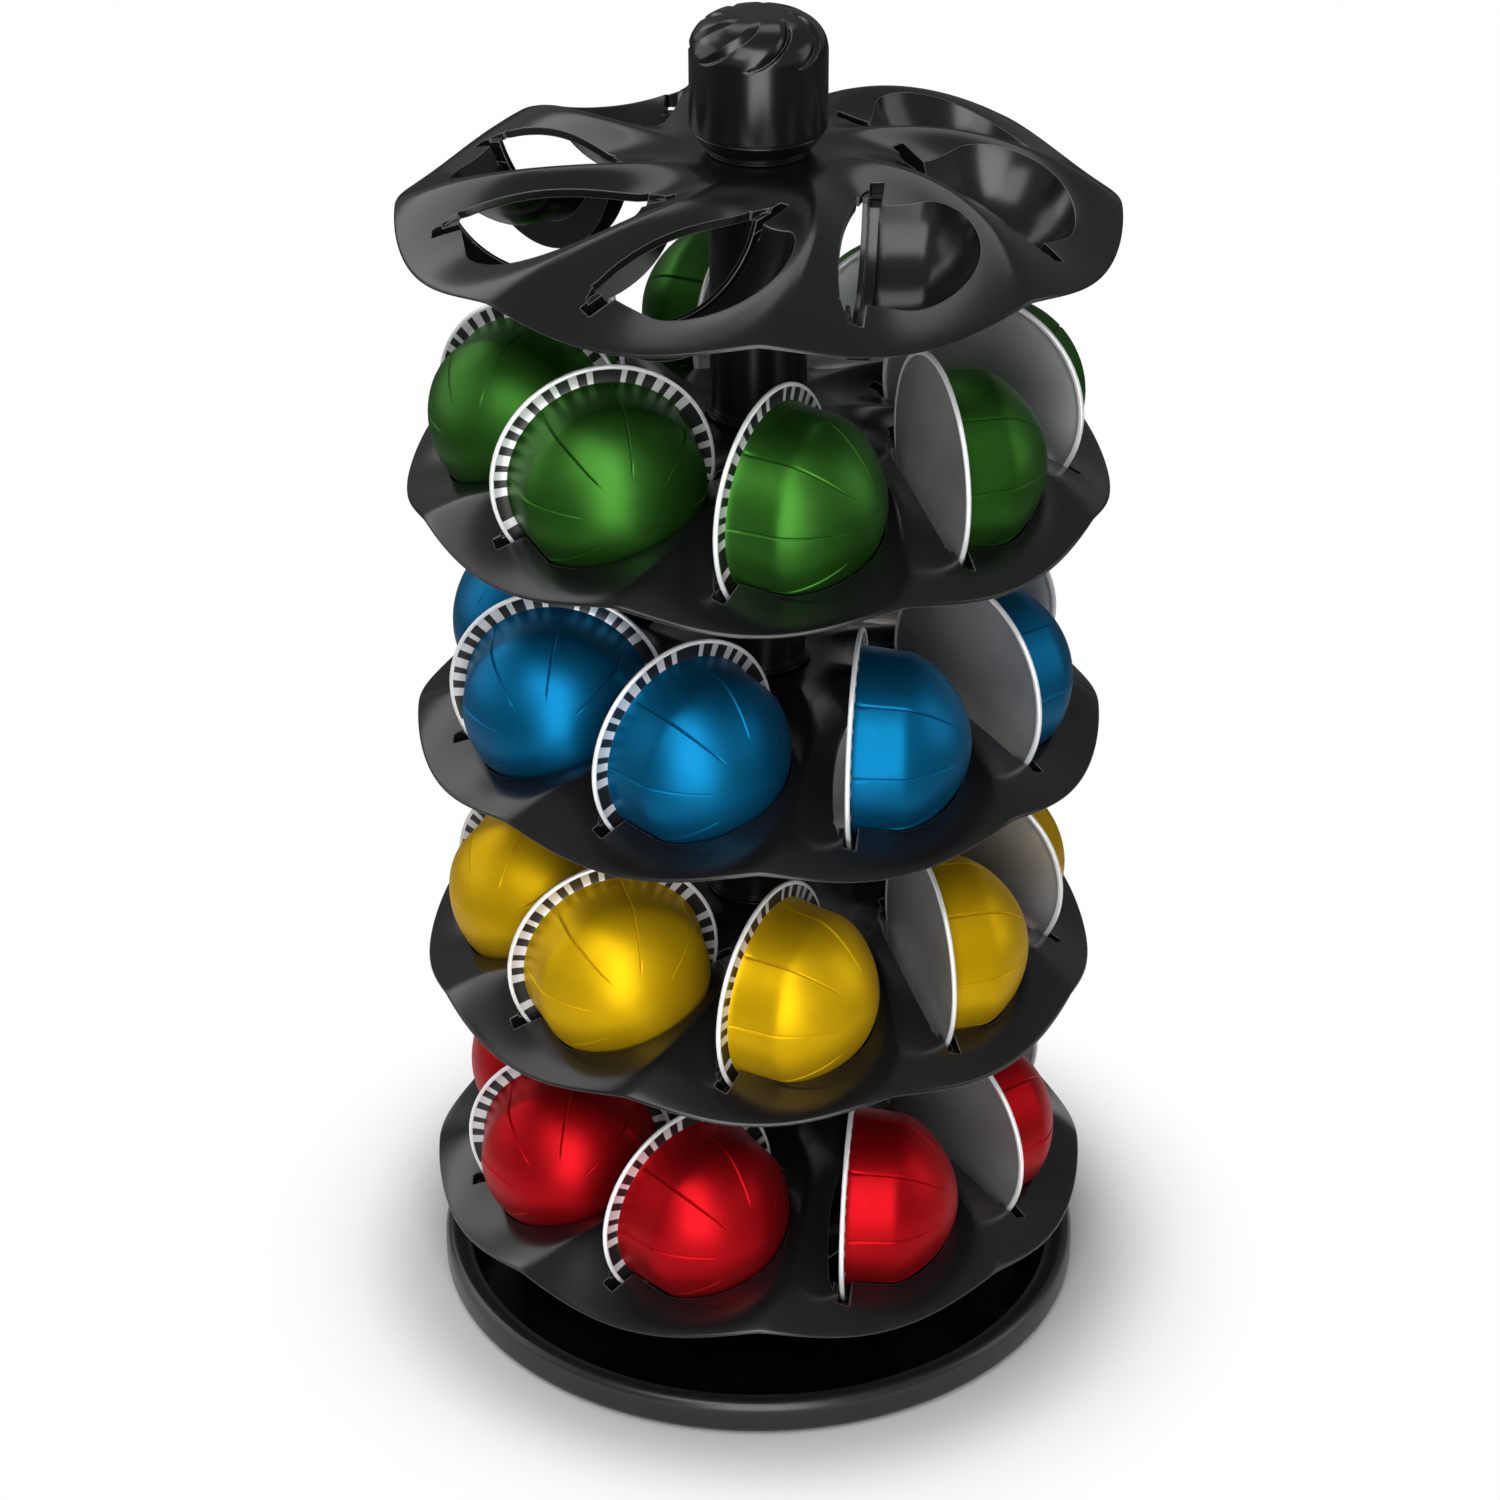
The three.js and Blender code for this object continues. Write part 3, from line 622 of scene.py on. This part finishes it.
def share_between(nodes, links, value, start, end, smooth=False):
    """How far the value is on the way from start to end, from 0 to 1."""
    span = nodes.new("ShaderNodeMapRange")
    if smooth:
        span.interpolation_type = "SMOOTHSTEP"
    span.inputs["From Min"].default_value = start
    span.inputs["From Max"].default_value = end
    links.new(value, span.inputs["Value"])
    return span.outputs["Result"]


def blended(nodes, links, share, first, second):
    """Colour from the first, at share 0, to the second. Each is a tone or a socket."""
    mix = nodes.new("ShaderNodeMix")
    mix.data_type = "RGBA"
    links.new(share, mix.inputs["Factor"])
    for socket, colour in ((mix.inputs["A"], first), (mix.inputs["B"], second)):
        if isinstance(colour, tuple):
            socket.default_value = (*colour, 1)
        else:
            links.new(colour, socket)
    return mix.outputs["Result"]


def tinted(nodes, links, value, dark, light):
    ramp = nodes.new("ShaderNodeValToRGB")
    for element, position, tone in zip(ramp.color_ramp.elements, TINT_SPAN, (dark, light)):
        element.position = position
        element.color = (*tone, 1)
    links.new(value, ramp.inputs["Fac"])
    return ramp.outputs["Color"]


def bumped(nodes, links, shader, value, distance, strength, edge=0.0):
    """Bump on the shader, over edges softened by a small radius."""
    bump = nodes.new("ShaderNodeBump")
    bump.inputs["Distance"].default_value = distance
    bump.inputs["Strength"].default_value = strength
    links.new(value, bump.inputs["Height"])
    if edge:
        soft = nodes.new("ShaderNodeBevel")
        soft.samples = EDGE_SAMPLES
        soft.inputs["Radius"].default_value = edge
        links.new(soft.outputs["Normal"], bump.inputs["Normal"])
    links.new(bump.outputs["Normal"], shader.inputs["Normal"])


def painted_edge_highlight(nodes, links, tone, reach):
    """The tone, turning pale along the edges of the mesh: a painted highlight."""
    soft = nodes.new("ShaderNodeBevel")
    soft.samples = HIGHLIGHT_SAMPLES
    soft.inputs["Radius"].default_value = reach
    flat = nodes.new("ShaderNodeNewGeometry")
    likeness = nodes.new("ShaderNodeVectorMath")
    likeness.operation = "DOT_PRODUCT"
    links.new(soft.outputs["Normal"], likeness.inputs[0])
    links.new(flat.outputs["Normal"], likeness.inputs[1])
    highlight = share_between(nodes, links, likeness.outputs["Value"], HIGHLIGHT_START, HIGHLIGHT_FULL)
    return blended(nodes, links, highlight, tone, EDGE_HIGHLIGHT_TONE)


def moulded_plastic(name, dark, light, rough, edge=0.0, grain=0.000012, shine=0.5):
    """Moulded plastic: faint mottling, uneven sheen and a fine grain; an edge radius adds a painted
    highlight along the edges.
    """
    material, nodes, links, shader = node_material(name)
    tone = tinted(nodes, links, object_noise(nodes, links, MOTTLE_SCALE), dark, light)
    # painted highlight: the edges turn pale
    if edge:
        tone = painted_edge_highlight(nodes, links, tone, edge * HIGHLIGHT_SHARE)
    links.new(tone, shader.inputs["Base Color"])
    sheen = mapped(nodes, links, object_noise(nodes, links, SHEEN_SCALE), *rough)
    links.new(sheen, shader.inputs["Roughness"])
    shader.inputs["Specular IOR Level"].default_value = shine
    fine = object_noise(nodes, links, GRAIN_SCALE, GRAIN_DETAIL)
    bumped(nodes, links, shader, fine, grain, PLASTIC_BUMP, edge)
    return material


def spun_metal(name, dark, light, rough, scale=900, depth=0.00001, metallic=1.0):
    """Metal with fine variation in its sheen."""
    material, nodes, links, shader = node_material(name)
    shader.inputs["Metallic"].default_value = metallic
    shader.inputs["Specular IOR Level"].default_value = 0 if metallic < 1 else 0.5
    tone = tinted(nodes, links, object_noise(nodes, links, METAL_TINT_SCALE), dark, light)
    links.new(tone, shader.inputs["Base Color"])
    sheen = mapped(nodes, links, object_noise(nodes, links, METAL_SHEEN_SCALE), *rough)
    links.new(sheen, shader.inputs["Roughness"])
    bumped(nodes, links, shader, object_noise(nodes, links, scale), depth, METAL_BUMP)
    return material


def tick_ring():
    """Flange face beside the dome: silver ticks of uneven width on black print."""
    material, nodes, links, shader = node_material("flange_ticks")
    place = nodes.new("ShaderNodeTexCoord")
    split = nodes.new("ShaderNodeSeparateXYZ")
    links.new(place.outputs["Object"], split.inputs["Vector"])

    def math_node(operation, first, second=None):
        node = nodes.new("ShaderNodeMath")
        node.operation = operation
        for socket, value in zip(node.inputs, (first, second)):
            if value is None:
                continue
            if isinstance(value, (int, float)):
                socket.default_value = value
            else:
                links.new(value, socket)
        return node.outputs["Value"]

    around = math_node("ARCTAN2", split.outputs["X"], split.outputs["Z"])
    cells = math_node("MULTIPLY", around, TICK_COUNT / FULL_TURN)
    whole = math_node("FLOOR", cells)
    within = math_node("FRACT", cells)
    chance = nodes.new("ShaderNodeTexWhiteNoise")
    chance.noise_dimensions = "1D"
    links.new(whole, chance.inputs["W"])
    luck = nodes.new("ShaderNodeSeparateColor")
    links.new(chance.outputs["Color"], luck.inputs["Color"])
    spread = math_node("MULTIPLY", luck.outputs["Red"], TICK_SPREAD_SHARE)
    half_width = math_node("ADD", spread, TICK_WIDTH_SHARE)
    shift = math_node("MULTIPLY", luck.outputs["Green"], TICK_SHIFT_SHARE)
    middle = math_node("ADD", shift, TICK_START_SHARE)
    off = math_node("ABSOLUTE", math_node("SUBTRACT", within, middle))
    printed = math_node("GREATER_THAN", luck.outputs["Blue"], TICK_GAP_SHARE)
    silver = math_node("MULTIPLY", math_node("LESS_THAN", off, half_width), printed)
    tone = blended(nodes, links, silver, TICK_BLACK, TICK_SILVER)
    links.new(tone, shader.inputs["Base Color"])
    links.new(mapped(nodes, links, silver, 0.0, TICK_METALLIC), shader.inputs["Metallic"])
    shader.inputs["Roughness"].default_value = TICK_ROUGHNESS
    fine = object_noise(nodes, links, TICK_GRAIN_SCALE)
    bumped(nodes, links, shader, fine, TICK_GRAIN, PLASTIC_BUMP)
    return material


tier_plastic = moulded_plastic(
    "tier_black", (0.004, 0.004, 0.0045), (0.006, 0.006, 0.0065), rough=(0.18, 0.24), edge=0.0006
)
# Shine cut to 0.2 as painted shade: the pole's reflections are dimmed where the tiers shade it.
pole_plastic = moulded_plastic(
    "pole_black", POLE_DARK, POLE_LIGHT, rough=(0.24, 0.3), edge=0.0003, shine=0.2
)
base_satin = moulded_plastic(
    "base_rim_black", (0.009, 0.009, 0.0095), (0.013, 0.013, 0.0135), rough=(0.26, 0.32)
)
dish_gloss = moulded_plastic(
    "base_dish_black", (0.001, 0.001, 0.001), (0.002, 0.002, 0.002), rough=(0.1, 0.16)
)
knob_plastic = moulded_plastic(
    "knob_black", POLE_DARK, POLE_LIGHT, rough=(0.2, 0.25), edge=0.0003
)
foot_rubber = moulded_plastic(
    "foot_rubber", (0.012, 0.012, 0.012), (0.022, 0.022, 0.022), rough=(0.75, 0.9), grain=0.00004
)
cage_nylon = moulded_plastic(
    "cage_nylon", (0.62, 0.61, 0.57), (0.7, 0.69, 0.65), rough=(0.45, 0.55)
)
steel = spun_metal("steel", (0.5, 0.51, 0.53), (0.6, 0.61, 0.63), rough=(0.25, 0.35))
brass = spun_metal("brass", (0.62, 0.44, 0.2), (0.72, 0.54, 0.27), rough=(0.28, 0.38))
foil_silver = spun_metal(
    "foil_silver",
    (0.5, 0.51, 0.52),
    (0.62, 0.63, 0.64),
    rough=(0.4, 0.52),
    scale=500,
    depth=0.00004,
    metallic=0.9,
)
edge_silver = spun_metal(
    "edge_silver", (0.8, 0.8, 0.81), (0.88, 0.88, 0.89), rough=(0.3, 0.4), metallic=0.35
)
flange_ticks = tick_ring()

CAPSULE_COLOURS = {  # darker and lighter tone, and how metallic the finish is
    "red": ((0.35, 0.004, 0.007), (0.43, 0.006, 0.01), 0.8),
    "yellow": ((0.53, 0.315, 0.003), (0.63, 0.385, 0.005), 0.6),
    "blue": ((0.002, 0.107, 0.23), (0.004, 0.136, 0.3), 0.8),
    "green": ((0.026, 0.114, 0.013), (0.039, 0.152, 0.021), 0.9),
}


# The object


def dress(name, mesh, body, slot, *nodes, material=None, matrix=None):
    """Adds a visible piece: the body it rides and the solids it replaces. The slot argument is not
    used.
    """
    obj = new_object(name, mesh)
    if material:
        mesh.materials.clear()
        mesh.materials.append(material)
    if matrix:
        obj.matrix_world = matrix
    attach(obj, body)
    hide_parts(*nodes)


def build_tiers():
    mesh = tier_mesh()
    for i in range(TIER_COUNT):
        node = f"tier_{i + 1}"
        sheet = mesh.copy()
        sheet.transform(tier_place(i))
        dress(node + "_fine", sheet, "carousel", "tier_black", node, material=tier_plastic)
    bpy.data.meshes.remove(mesh)


def build_capsules():
    for tier, colour in enumerate(CAPSULE_COLOURS):
        dark, light, metallic = CAPSULE_COLOURS[colour]
        anodised = spun_metal(
            "anodised_" + colour,
            dark,
            light,
            rough=(0.4, 0.46),
            scale=1200,
            depth=0.000004,
            metallic=metallic,
        )
        parts = {"foil": foil_silver, "edge": edge_silver, "ticks": flange_ticks, "body": anodised}
        mesh = capsule_mesh("capsule_" + colour, parts)
        mesh.transform(SEAT_AXIS)
        for i in range(POCKET_COUNT):
            node = f"capsule_{colour}_{i + 1}"
            place = tier_place(tier) @ pocket_seat(i)
            dress(node + "_fine", mesh, node, "foil_" + colour, node, matrix=place)


def build_sleeves():
    for i in range(TIER_COUNT):
        node = f"pole_sleeve_{i + 1}"
        low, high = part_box(node)
        z, top = low.z, high.z
        section = [
            (SLEEVE_BORE, z),
            (RING_RADIUS, z),
            (RING_RADIUS, z + RING_HEIGHT),
            (SLEEVE_RADIUS + RING_STEP, z + RING_HEIGHT),
            (SLEEVE_RADIUS + RING_STEP, z + RING_HEIGHT * 2),
            (SLEEVE_RADIUS, z + RING_HEIGHT * 2),
            (SLEEVE_RADIUS, top),
            (SLEEVE_BORE, top),
        ]
        mesh = lathe(node, filleted(section, SMALL_FILLET, True), closed=True)
        dress(node + "_fine", mesh, "carousel", "tier_black", node, material=pole_plastic)


def build_collar():
    low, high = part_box("knob_collar")
    z, top = low.z, high.z
    ring = (top - z) * COLLAR_RING_SHARE
    waist = ring * COLLAR_WAIST_START
    section = [
        (SLEEVE_BORE, z),
        (COLLAR_RADIUS, z),
        (COLLAR_RADIUS, z + ring),
        (SLEEVE_RADIUS, z + waist),
        (SLEEVE_RADIUS, top - waist),
        (COLLAR_RADIUS, top - ring),
        (COLLAR_RADIUS, top),
        (SLEEVE_BORE, top),
    ]
    mesh = lathe("knob_collar", filleted(section, FINE_FILLET, True), closed=True)
    dress("knob_collar_fine", mesh, "carousel", "tier_black", "knob_collar", material=pole_plastic)


def rim_roll():
    """The base's rolled rim, from its outer wall over the crest to its inner lip."""
    crest = BASE_RADIUS - BASE_RIM_CREST
    reach = BASE_RIM_WIDTH - BASE_RIM_CREST
    for step in range(2 * RIM_STEPS + 1):
        turn = 90 * DEGREE * step / RIM_STEPS
        outside = step < RIM_STEPS
        wide, low = (BASE_RIM_CREST, BASE_WALL_HEIGHT) if outside else (reach, BASE_LIP_HEIGHT)
        yield crest + wide * math.cos(turn), low + (BASE_RIM_HEIGHT - low) * math.sin(turn), 0


def build_base():
    inner = BASE_RADIUS - BASE_RIM_WIDTH
    section = [
        (NUT_ROOM_RADIUS, FOOT_PROUD),
        (BASE_RADIUS - BASE_BEVEL_WIDTH, FOOT_PROUD, BROAD_FILLET),
        (BASE_RADIUS, BASE_BEVEL_TOP, WIDE_FILLET),
        *rim_roll(),
        (inner, DISH_HEIGHT, FINE_FILLET),
        (BOSS_RADIUS, DISH_HEIGHT, BROAD_FILLET),
        (BOSS_RADIUS, BOSS_HEIGHT, BOSS_FILLET),
        (RACE_SEAT_OUTER, BOSS_HEIGHT, FINE_FILLET),
        (RACE_SEAT_OUTER, RACE_SEAT_LOW, FINE_FILLET),
        (RACE_SEAT_INNER, RACE_SEAT_LOW, FINE_FILLET),
        (RACE_SEAT_INNER, BOSS_HEIGHT, FINE_FILLET),
        (HUB_BORE, BOSS_HEIGHT, FINE_FILLET),
        (HUB_BORE, BOSS_HEIGHT - BOSS_ROOF, FINE_FILLET),
        (NUT_ROOM_RADIUS, BOSS_HEIGHT - BOSS_ROOF),
    ]
    mesh = lathe("base_tray", filleted(section, EDGE_FILLET, True), BASE_SEGMENTS, closed=True)
    tray = new_object("base_tray_cut", mesh)
    recess, top = FOOT_RADIUS + FOOT_ROOM, FOOT_PROUD + FOOT_DEPTH + FOOT_ROOM
    profile = [(0, RECESS_START), (recess, RECESS_START), (recess, top), (0, top)]
    for x, y in foot_places():
        cutter = new_object("foot_recess", lathe("foot_recess", profile, RECESS_SEGMENTS))
        cutter.location = (x, y, 0)
        tray = boolean(tray, cutter, "DIFFERENCE")
    mesh = tray.data
    bpy.data.objects.remove(tray)
    mesh.materials.clear()
    mesh.materials.append(base_satin)
    mesh.materials.append(dish_gloss)
    slots = [0] * len(mesh.polygons)
    for face in mesh.polygons:
        x, y, z = face.center
        if math.hypot(x, y) < inner + DISH_REACH and z > DISH_HEIGHT - DISH_LOWEST:
            slots[face.index] = 1
    mesh.polygons.foreach_set("material_index", slots)
    dress("base_tray_fine", mesh, "base", "base_black", "base_tray")


def foot_places():
    for i in range(FOOT_COUNT):
        azimuth = (i + 0.5) * FULL_TURN / FOOT_COUNT
        yield FOOT_CIRCLE * math.cos(azimuth), FOOT_CIRCLE * math.sin(azimuth)


def build_feet():
    height = FOOT_PROUD + FOOT_DEPTH
    section = [
        (0, 0),
        (FOOT_RADIUS - FOOT_BEVEL_WIDTH, 0),
        (FOOT_RADIUS, FOOT_BEVEL_TOP),
        (FOOT_RADIUS, height),
        (0, height),
    ]
    mesh = lathe("foot_pad", filleted(section, EDGE_FILLET), FOOT_SEGMENTS)
    for i, (x, y) in enumerate(foot_places()):
        node = f"foot_pad_{i + 1}"
        place = Matrix.Translation((x, y, 0))
        dress(node + "_fine", mesh, "base", "foot_rubber", node, material=foot_rubber, matrix=place)


def build_turn_hub():
    low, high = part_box("turn_hub")
    top = high.z - SPIGOT_HEIGHT
    seat = RACE_TOP + RACE_GAP
    skirt = TURN_HUB_RADIUS - TURN_HUB_WALL
    section = [
        (HUB_BORE, seat),
        (RACE_SEAT_OUTER, seat),
        (RACE_SEAT_OUTER, seat - TURN_HUB_STEP),
        (skirt, seat - TURN_HUB_STEP),
        (skirt, low.z),
        (TURN_HUB_RADIUS, low.z),
        (TURN_HUB_RADIUS, seat, TURN_HUB_FILLET),
        (RING_RADIUS + TURN_HUB_NECK, top, TURN_HUB_FILLET),
        (SPIGOT_RADIUS, top),
        (SPIGOT_RADIUS, high.z),
        (HUB_BORE, high.z),
    ]
    mesh = lathe("turn_hub", filleted(section, SMALL_FILLET, True), closed=True)
    dress("turn_hub_fine", mesh, "carousel", "tier_black", "turn_hub", material=pole_plastic)


def knob_profile(height):
    """Points (radius, height, climb) up the knob; climb runs from 0 to 1 over the crown."""
    crown = height - KNOB_DOME
    tips = crown + FLUTE_START * KNOB_DOME
    groove = KNOB_RADIUS - KNOB_GROOVE
    points = [
        (INSERT_ROOM_RADIUS, SPIGOT_ROOM),
        (SLEEVE_BORE, SPIGOT_ROOM, FINE_FILLET),
        (SLEEVE_BORE, 0, FINE_FILLET),
        (KNOB_FOOT_RADIUS, 0, WIDE_FILLET),
        (groove, KNOB_BAND_HEIGHT - KNOB_GROOVE_BELOW),
        (groove - KNOB_GROOVE, KNOB_BAND_HEIGHT, GROOVE_FILLET),
        (KNOB_RADIUS, KNOB_BAND_HEIGHT + KNOB_GROOVE_ABOVE, EDGE_FILLET),
        (KNOB_RADIUS, tips - KNOB_RING),
    ]
    section = [(radius, z, -1) for radius, z in filleted(points, SMALL_FILLET)]
    section.append((KNOB_RADIUS, tips, -1))
    reach = KNOB_RADIUS - KNOB_DISC_RADIUS
    for step in range(1, CROWN_ROWS + 1):
        share = FLUTE_START + (1 - FLUTE_START) * math.sin(90 * DEGREE * step / CROWN_ROWS)
        turn = math.asin(min(max(share, 0), 1))
        climb = (share - FLUTE_START) / (1 - FLUTE_START)
        radius = KNOB_DISC_RADIUS + reach * math.cos(turn)
        section.append((radius, crown + KNOB_DOME * share, climb))
    return section + [(KNOB_DISC_RADIUS * 0.5, height, -1), (0, height, -1)]


def flute_depth(climb, angles):
    """Depth of the crown's flutes: none at the trailing edge, most just before the leading one."""
    if not 0 < climb < 1:
        return np.zeros(len(angles))
    step = FULL_TURN / FLUTE_COUNT
    trail = FLUTE_SPAN * climb
    lead = FLUTE_SPAN * climb**FLUTE_LEAD + FLUTE_TOP_WIDTH * climb**FLUTE_TOP_LEAD_POWER
    within = ((angles - FLUTE_PHASE - trail) % step) / max(lead - trail, 1e-6)
    past = np.clip((1 - within) / (1 - FLUTE_CREST), 0, 1)
    across = np.where(within < FLUTE_CREST, within / FLUTE_CREST, past)
    along = climb**FLUTE_RISE * (1 - climb**FLUTE_TOP_POWER)
    return FLUTE_DEPTH * across**FLUTE_HOLLOW * along


def build_knob():
    low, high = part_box("knob")
    angles = np.arange(KNOB_COLUMNS) * FULL_TURN / KNOB_COLUMNS
    crown = high.z - KNOB_DOME
    profile = [(0, INSERT_ROOM_DEPTH, -1), (INSERT_ROOM_RADIUS, INSERT_ROOM_DEPTH, -1)]
    rows = []
    for radius, z, climb in profile + knob_profile(high.z - low.z):
        sunk = flute_depth(climb, angles)
        lean = min(max((low.z + z - crown) / KNOB_DOME, 0), 1)
        across = radius - sunk * (1 - lean**2) ** 0.5
        up = low.z + z - sunk * lean
        rows.append(np.stack([across * np.cos(angles), across * np.sin(angles), up], axis=1))
    mesh = mesh_from("knob", rows, False)
    dress("knob_fine", mesh, "carousel", "tier_black", "knob", material=knob_plastic)


build_tiers()
build_capsules()
build_sleeves()
build_collar()
build_base()
build_feet()
build_turn_hub()
build_knob()

HIDDEN_FINISHES = {
    "bearing_lower_race": steel,
    "bearing_upper_race": steel,
    "tie_rod": steel,
    "rod_washer": steel,
    "lock_nut": steel,
    "ball_cage": cage_nylon,
    "knob_insert": brass,
}
for node, finish in HIDDEN_FINISHES.items():
    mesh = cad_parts[node].data
    mesh.materials.clear()
    mesh.materials.append(finish)


# Camera, lamps and stage

CAMERA_PLACE = (0, -0.9842, 0.7206)
CAMERA_PITCH = 29.03 * DEGREE
CAMERA_LENS = 93.0  # millimetres, as the sensor's width
CAMERA_SENSOR = 36
CAMERA_SHIFT = -0.0057
FILL_FRONT = 0.34  # of the world's light from the camera's side
FILL_REAR = 0.16
FLOOR_RINGS = (0, 0.1, 0.2, 0.5, 6)
BACKDROP_START = 0.095  # where the floor starts to fade into the white backdrop
BACKDROP_FULL = 0.16
FLOOR_SHADOW_END = 0.135  # end of the painted shadow on the floor beside the base
FLOOR_NEAR = 0.2  # where the floor starts to turn grey, which only reflections show
FLOOR_FAR = 0.6
# painted shadow: the floor's tone next to the base, fading to the pale floor further out
FLOOR_SHADOW_TONE = (0.6, 0.6, 0.6)
FLOOR_PALE = (0.97, 0.97, 0.97)
FLOOR_GREY = (0.12, 0.12, 0.12)


def build_camera():
    data = bpy.data.cameras.new("camera")
    data.lens = CAMERA_LENS
    data.sensor_width = CAMERA_SENSOR
    data.sensor_fit = "HORIZONTAL"
    data.shift_x = CAMERA_SHIFT
    camera = bpy.data.objects.new("camera", data)
    camera.location = CAMERA_PLACE
    camera.rotation_euler = Euler((90 * DEGREE - CAMERA_PITCH, 0, 0))
    bpy.context.scene.collection.objects.link(camera)
    bpy.context.scene.camera = camera


def area_lamp(name, place, target, size, radiance):
    data = bpy.data.lights.new(name, "AREA")
    data.shape = "RECTANGLE"
    data.size, data.size_y = size
    data.energy = radiance * math.pi * data.size * data.size_y
    lamp = bpy.data.objects.new(name, data)
    lamp.location = place
    aim = Vector(target) - Vector(place)
    lamp.rotation_euler = aim.to_track_quat("-Z", "Y").to_euler()
    bpy.context.scene.collection.objects.link(lamp)


def build_world():
    world = bpy.data.worlds.new("studio")
    bpy.context.scene.world = world
    world.use_nodes = True
    nodes, links = world.node_tree.nodes, world.node_tree.links
    nodes.clear()
    path = nodes.new("ShaderNodeLightPath")
    white = nodes.new("ShaderNodeBackground")
    white.inputs["Color"].default_value = (1, 1, 1, 1)
    fill = nodes.new("ShaderNodeBackground")
    fill.inputs["Color"].default_value = (1, 1, 1, 1)
    place = nodes.new("ShaderNodeTexCoord")
    split = nodes.new("ShaderNodeSeparateXYZ")
    links.new(place.outputs["Generated"], split.inputs["Vector"])
    fade = nodes.new("ShaderNodeMapRange")
    fade.inputs["From Min"].default_value = -1
    fade.inputs["To Min"].default_value = FILL_FRONT
    fade.inputs["To Max"].default_value = FILL_REAR
    links.new(split.outputs["Y"], fade.inputs["Value"])
    links.new(fade.outputs["Result"], fill.inputs["Strength"])
    mix = nodes.new("ShaderNodeMixShader")
    out = nodes.new("ShaderNodeOutputWorld")
    links.new(path.outputs["Is Camera Ray"], mix.inputs["Fac"])
    links.new(fill.outputs["Background"], mix.inputs[1])
    links.new(white.outputs["Background"], mix.inputs[2])
    links.new(mix.outputs["Shader"], out.inputs["Surface"])


def build_floor():
    """Pale floor that keeps the object's shadow, darkened by a painted shadow round the base, and
    fades to the white backdrop around it.
    """
    mesh = lathe("floor", [(radius, 0) for radius in FLOOR_RINGS])
    floor = new_object("floor", mesh)
    material = bpy.data.materials.new("floor")
    material.use_nodes = True
    nodes, links = material.node_tree.nodes, material.node_tree.links
    nodes.clear()
    place = nodes.new("ShaderNodeTexCoord")
    length = nodes.new("ShaderNodeVectorMath")
    length.operation = "LENGTH"
    links.new(place.outputs["Object"], length.inputs[0])
    distance = length.outputs["Value"]
    fade = share_between(nodes, links, distance, BACKDROP_START, BACKDROP_FULL, smooth=True)
    path = nodes.new("ShaderNodeLightPath")
    both = nodes.new("ShaderNodeMath")
    both.operation = "MULTIPLY"
    links.new(fade, both.inputs[0])
    links.new(path.outputs["Is Camera Ray"], both.inputs[1])
    # painted shadow round the base, fading out to the pale floor
    beside = share_between(nodes, links, distance, BASE_RADIUS, FLOOR_SHADOW_END, smooth=True)
    near = blended(nodes, links, beside, FLOOR_SHADOW_TONE, FLOOR_PALE)
    away = share_between(nodes, links, distance, FLOOR_NEAR, FLOOR_FAR)
    pale = nodes.new("ShaderNodeBsdfDiffuse")
    links.new(blended(nodes, links, away, near, FLOOR_GREY), pale.inputs["Color"])
    white = nodes.new("ShaderNodeEmission")
    mix = nodes.new("ShaderNodeMixShader")
    out = nodes.new("ShaderNodeOutputMaterial")
    links.new(both.outputs["Value"], mix.inputs["Fac"])
    links.new(pale.outputs["BSDF"], mix.inputs[1])
    links.new(white.outputs["Emission"], mix.inputs[2])
    links.new(mix.outputs["Shader"], out.inputs["Surface"])
    mesh.materials.append(material)


build_camera()
build_world()
build_floor()
LAMPS = {  # place, aim, width and height, radiance against white
    "front_strip": ((0.01, -0.6, 0.6), (0.01, 0, 0.6), (0.34, 1.2), 4.4),
    "front_high": ((-0.36, -0.6, 0.95), (0, 0, 0.35), (0.34, 0.6), 3.2),
    "left": ((-1.4, 0.3, 0.6), (0, 0, 0.3), (1.2, 1.1), 1.1),
    "rear_left": ((-0.9, 0.75, 1.1), (0, 0, 0.25), (1.0, 0.8), 1.5),
    "rear_high": ((0, 0.8, 1.5), (0, 0, 0.3), (1.0, 0.6), 1.4),
    "right": ((1.4, 0, 0.6), (0, 0, 0.3), (0.7, 1.0), 1.3),
}
for name, (place, aim, size, radiance) in LAMPS.items():
    area_lamp(name, place, aim, size, radiance)

scene = bpy.context.scene
scene.view_settings.view_transform = "Standard"
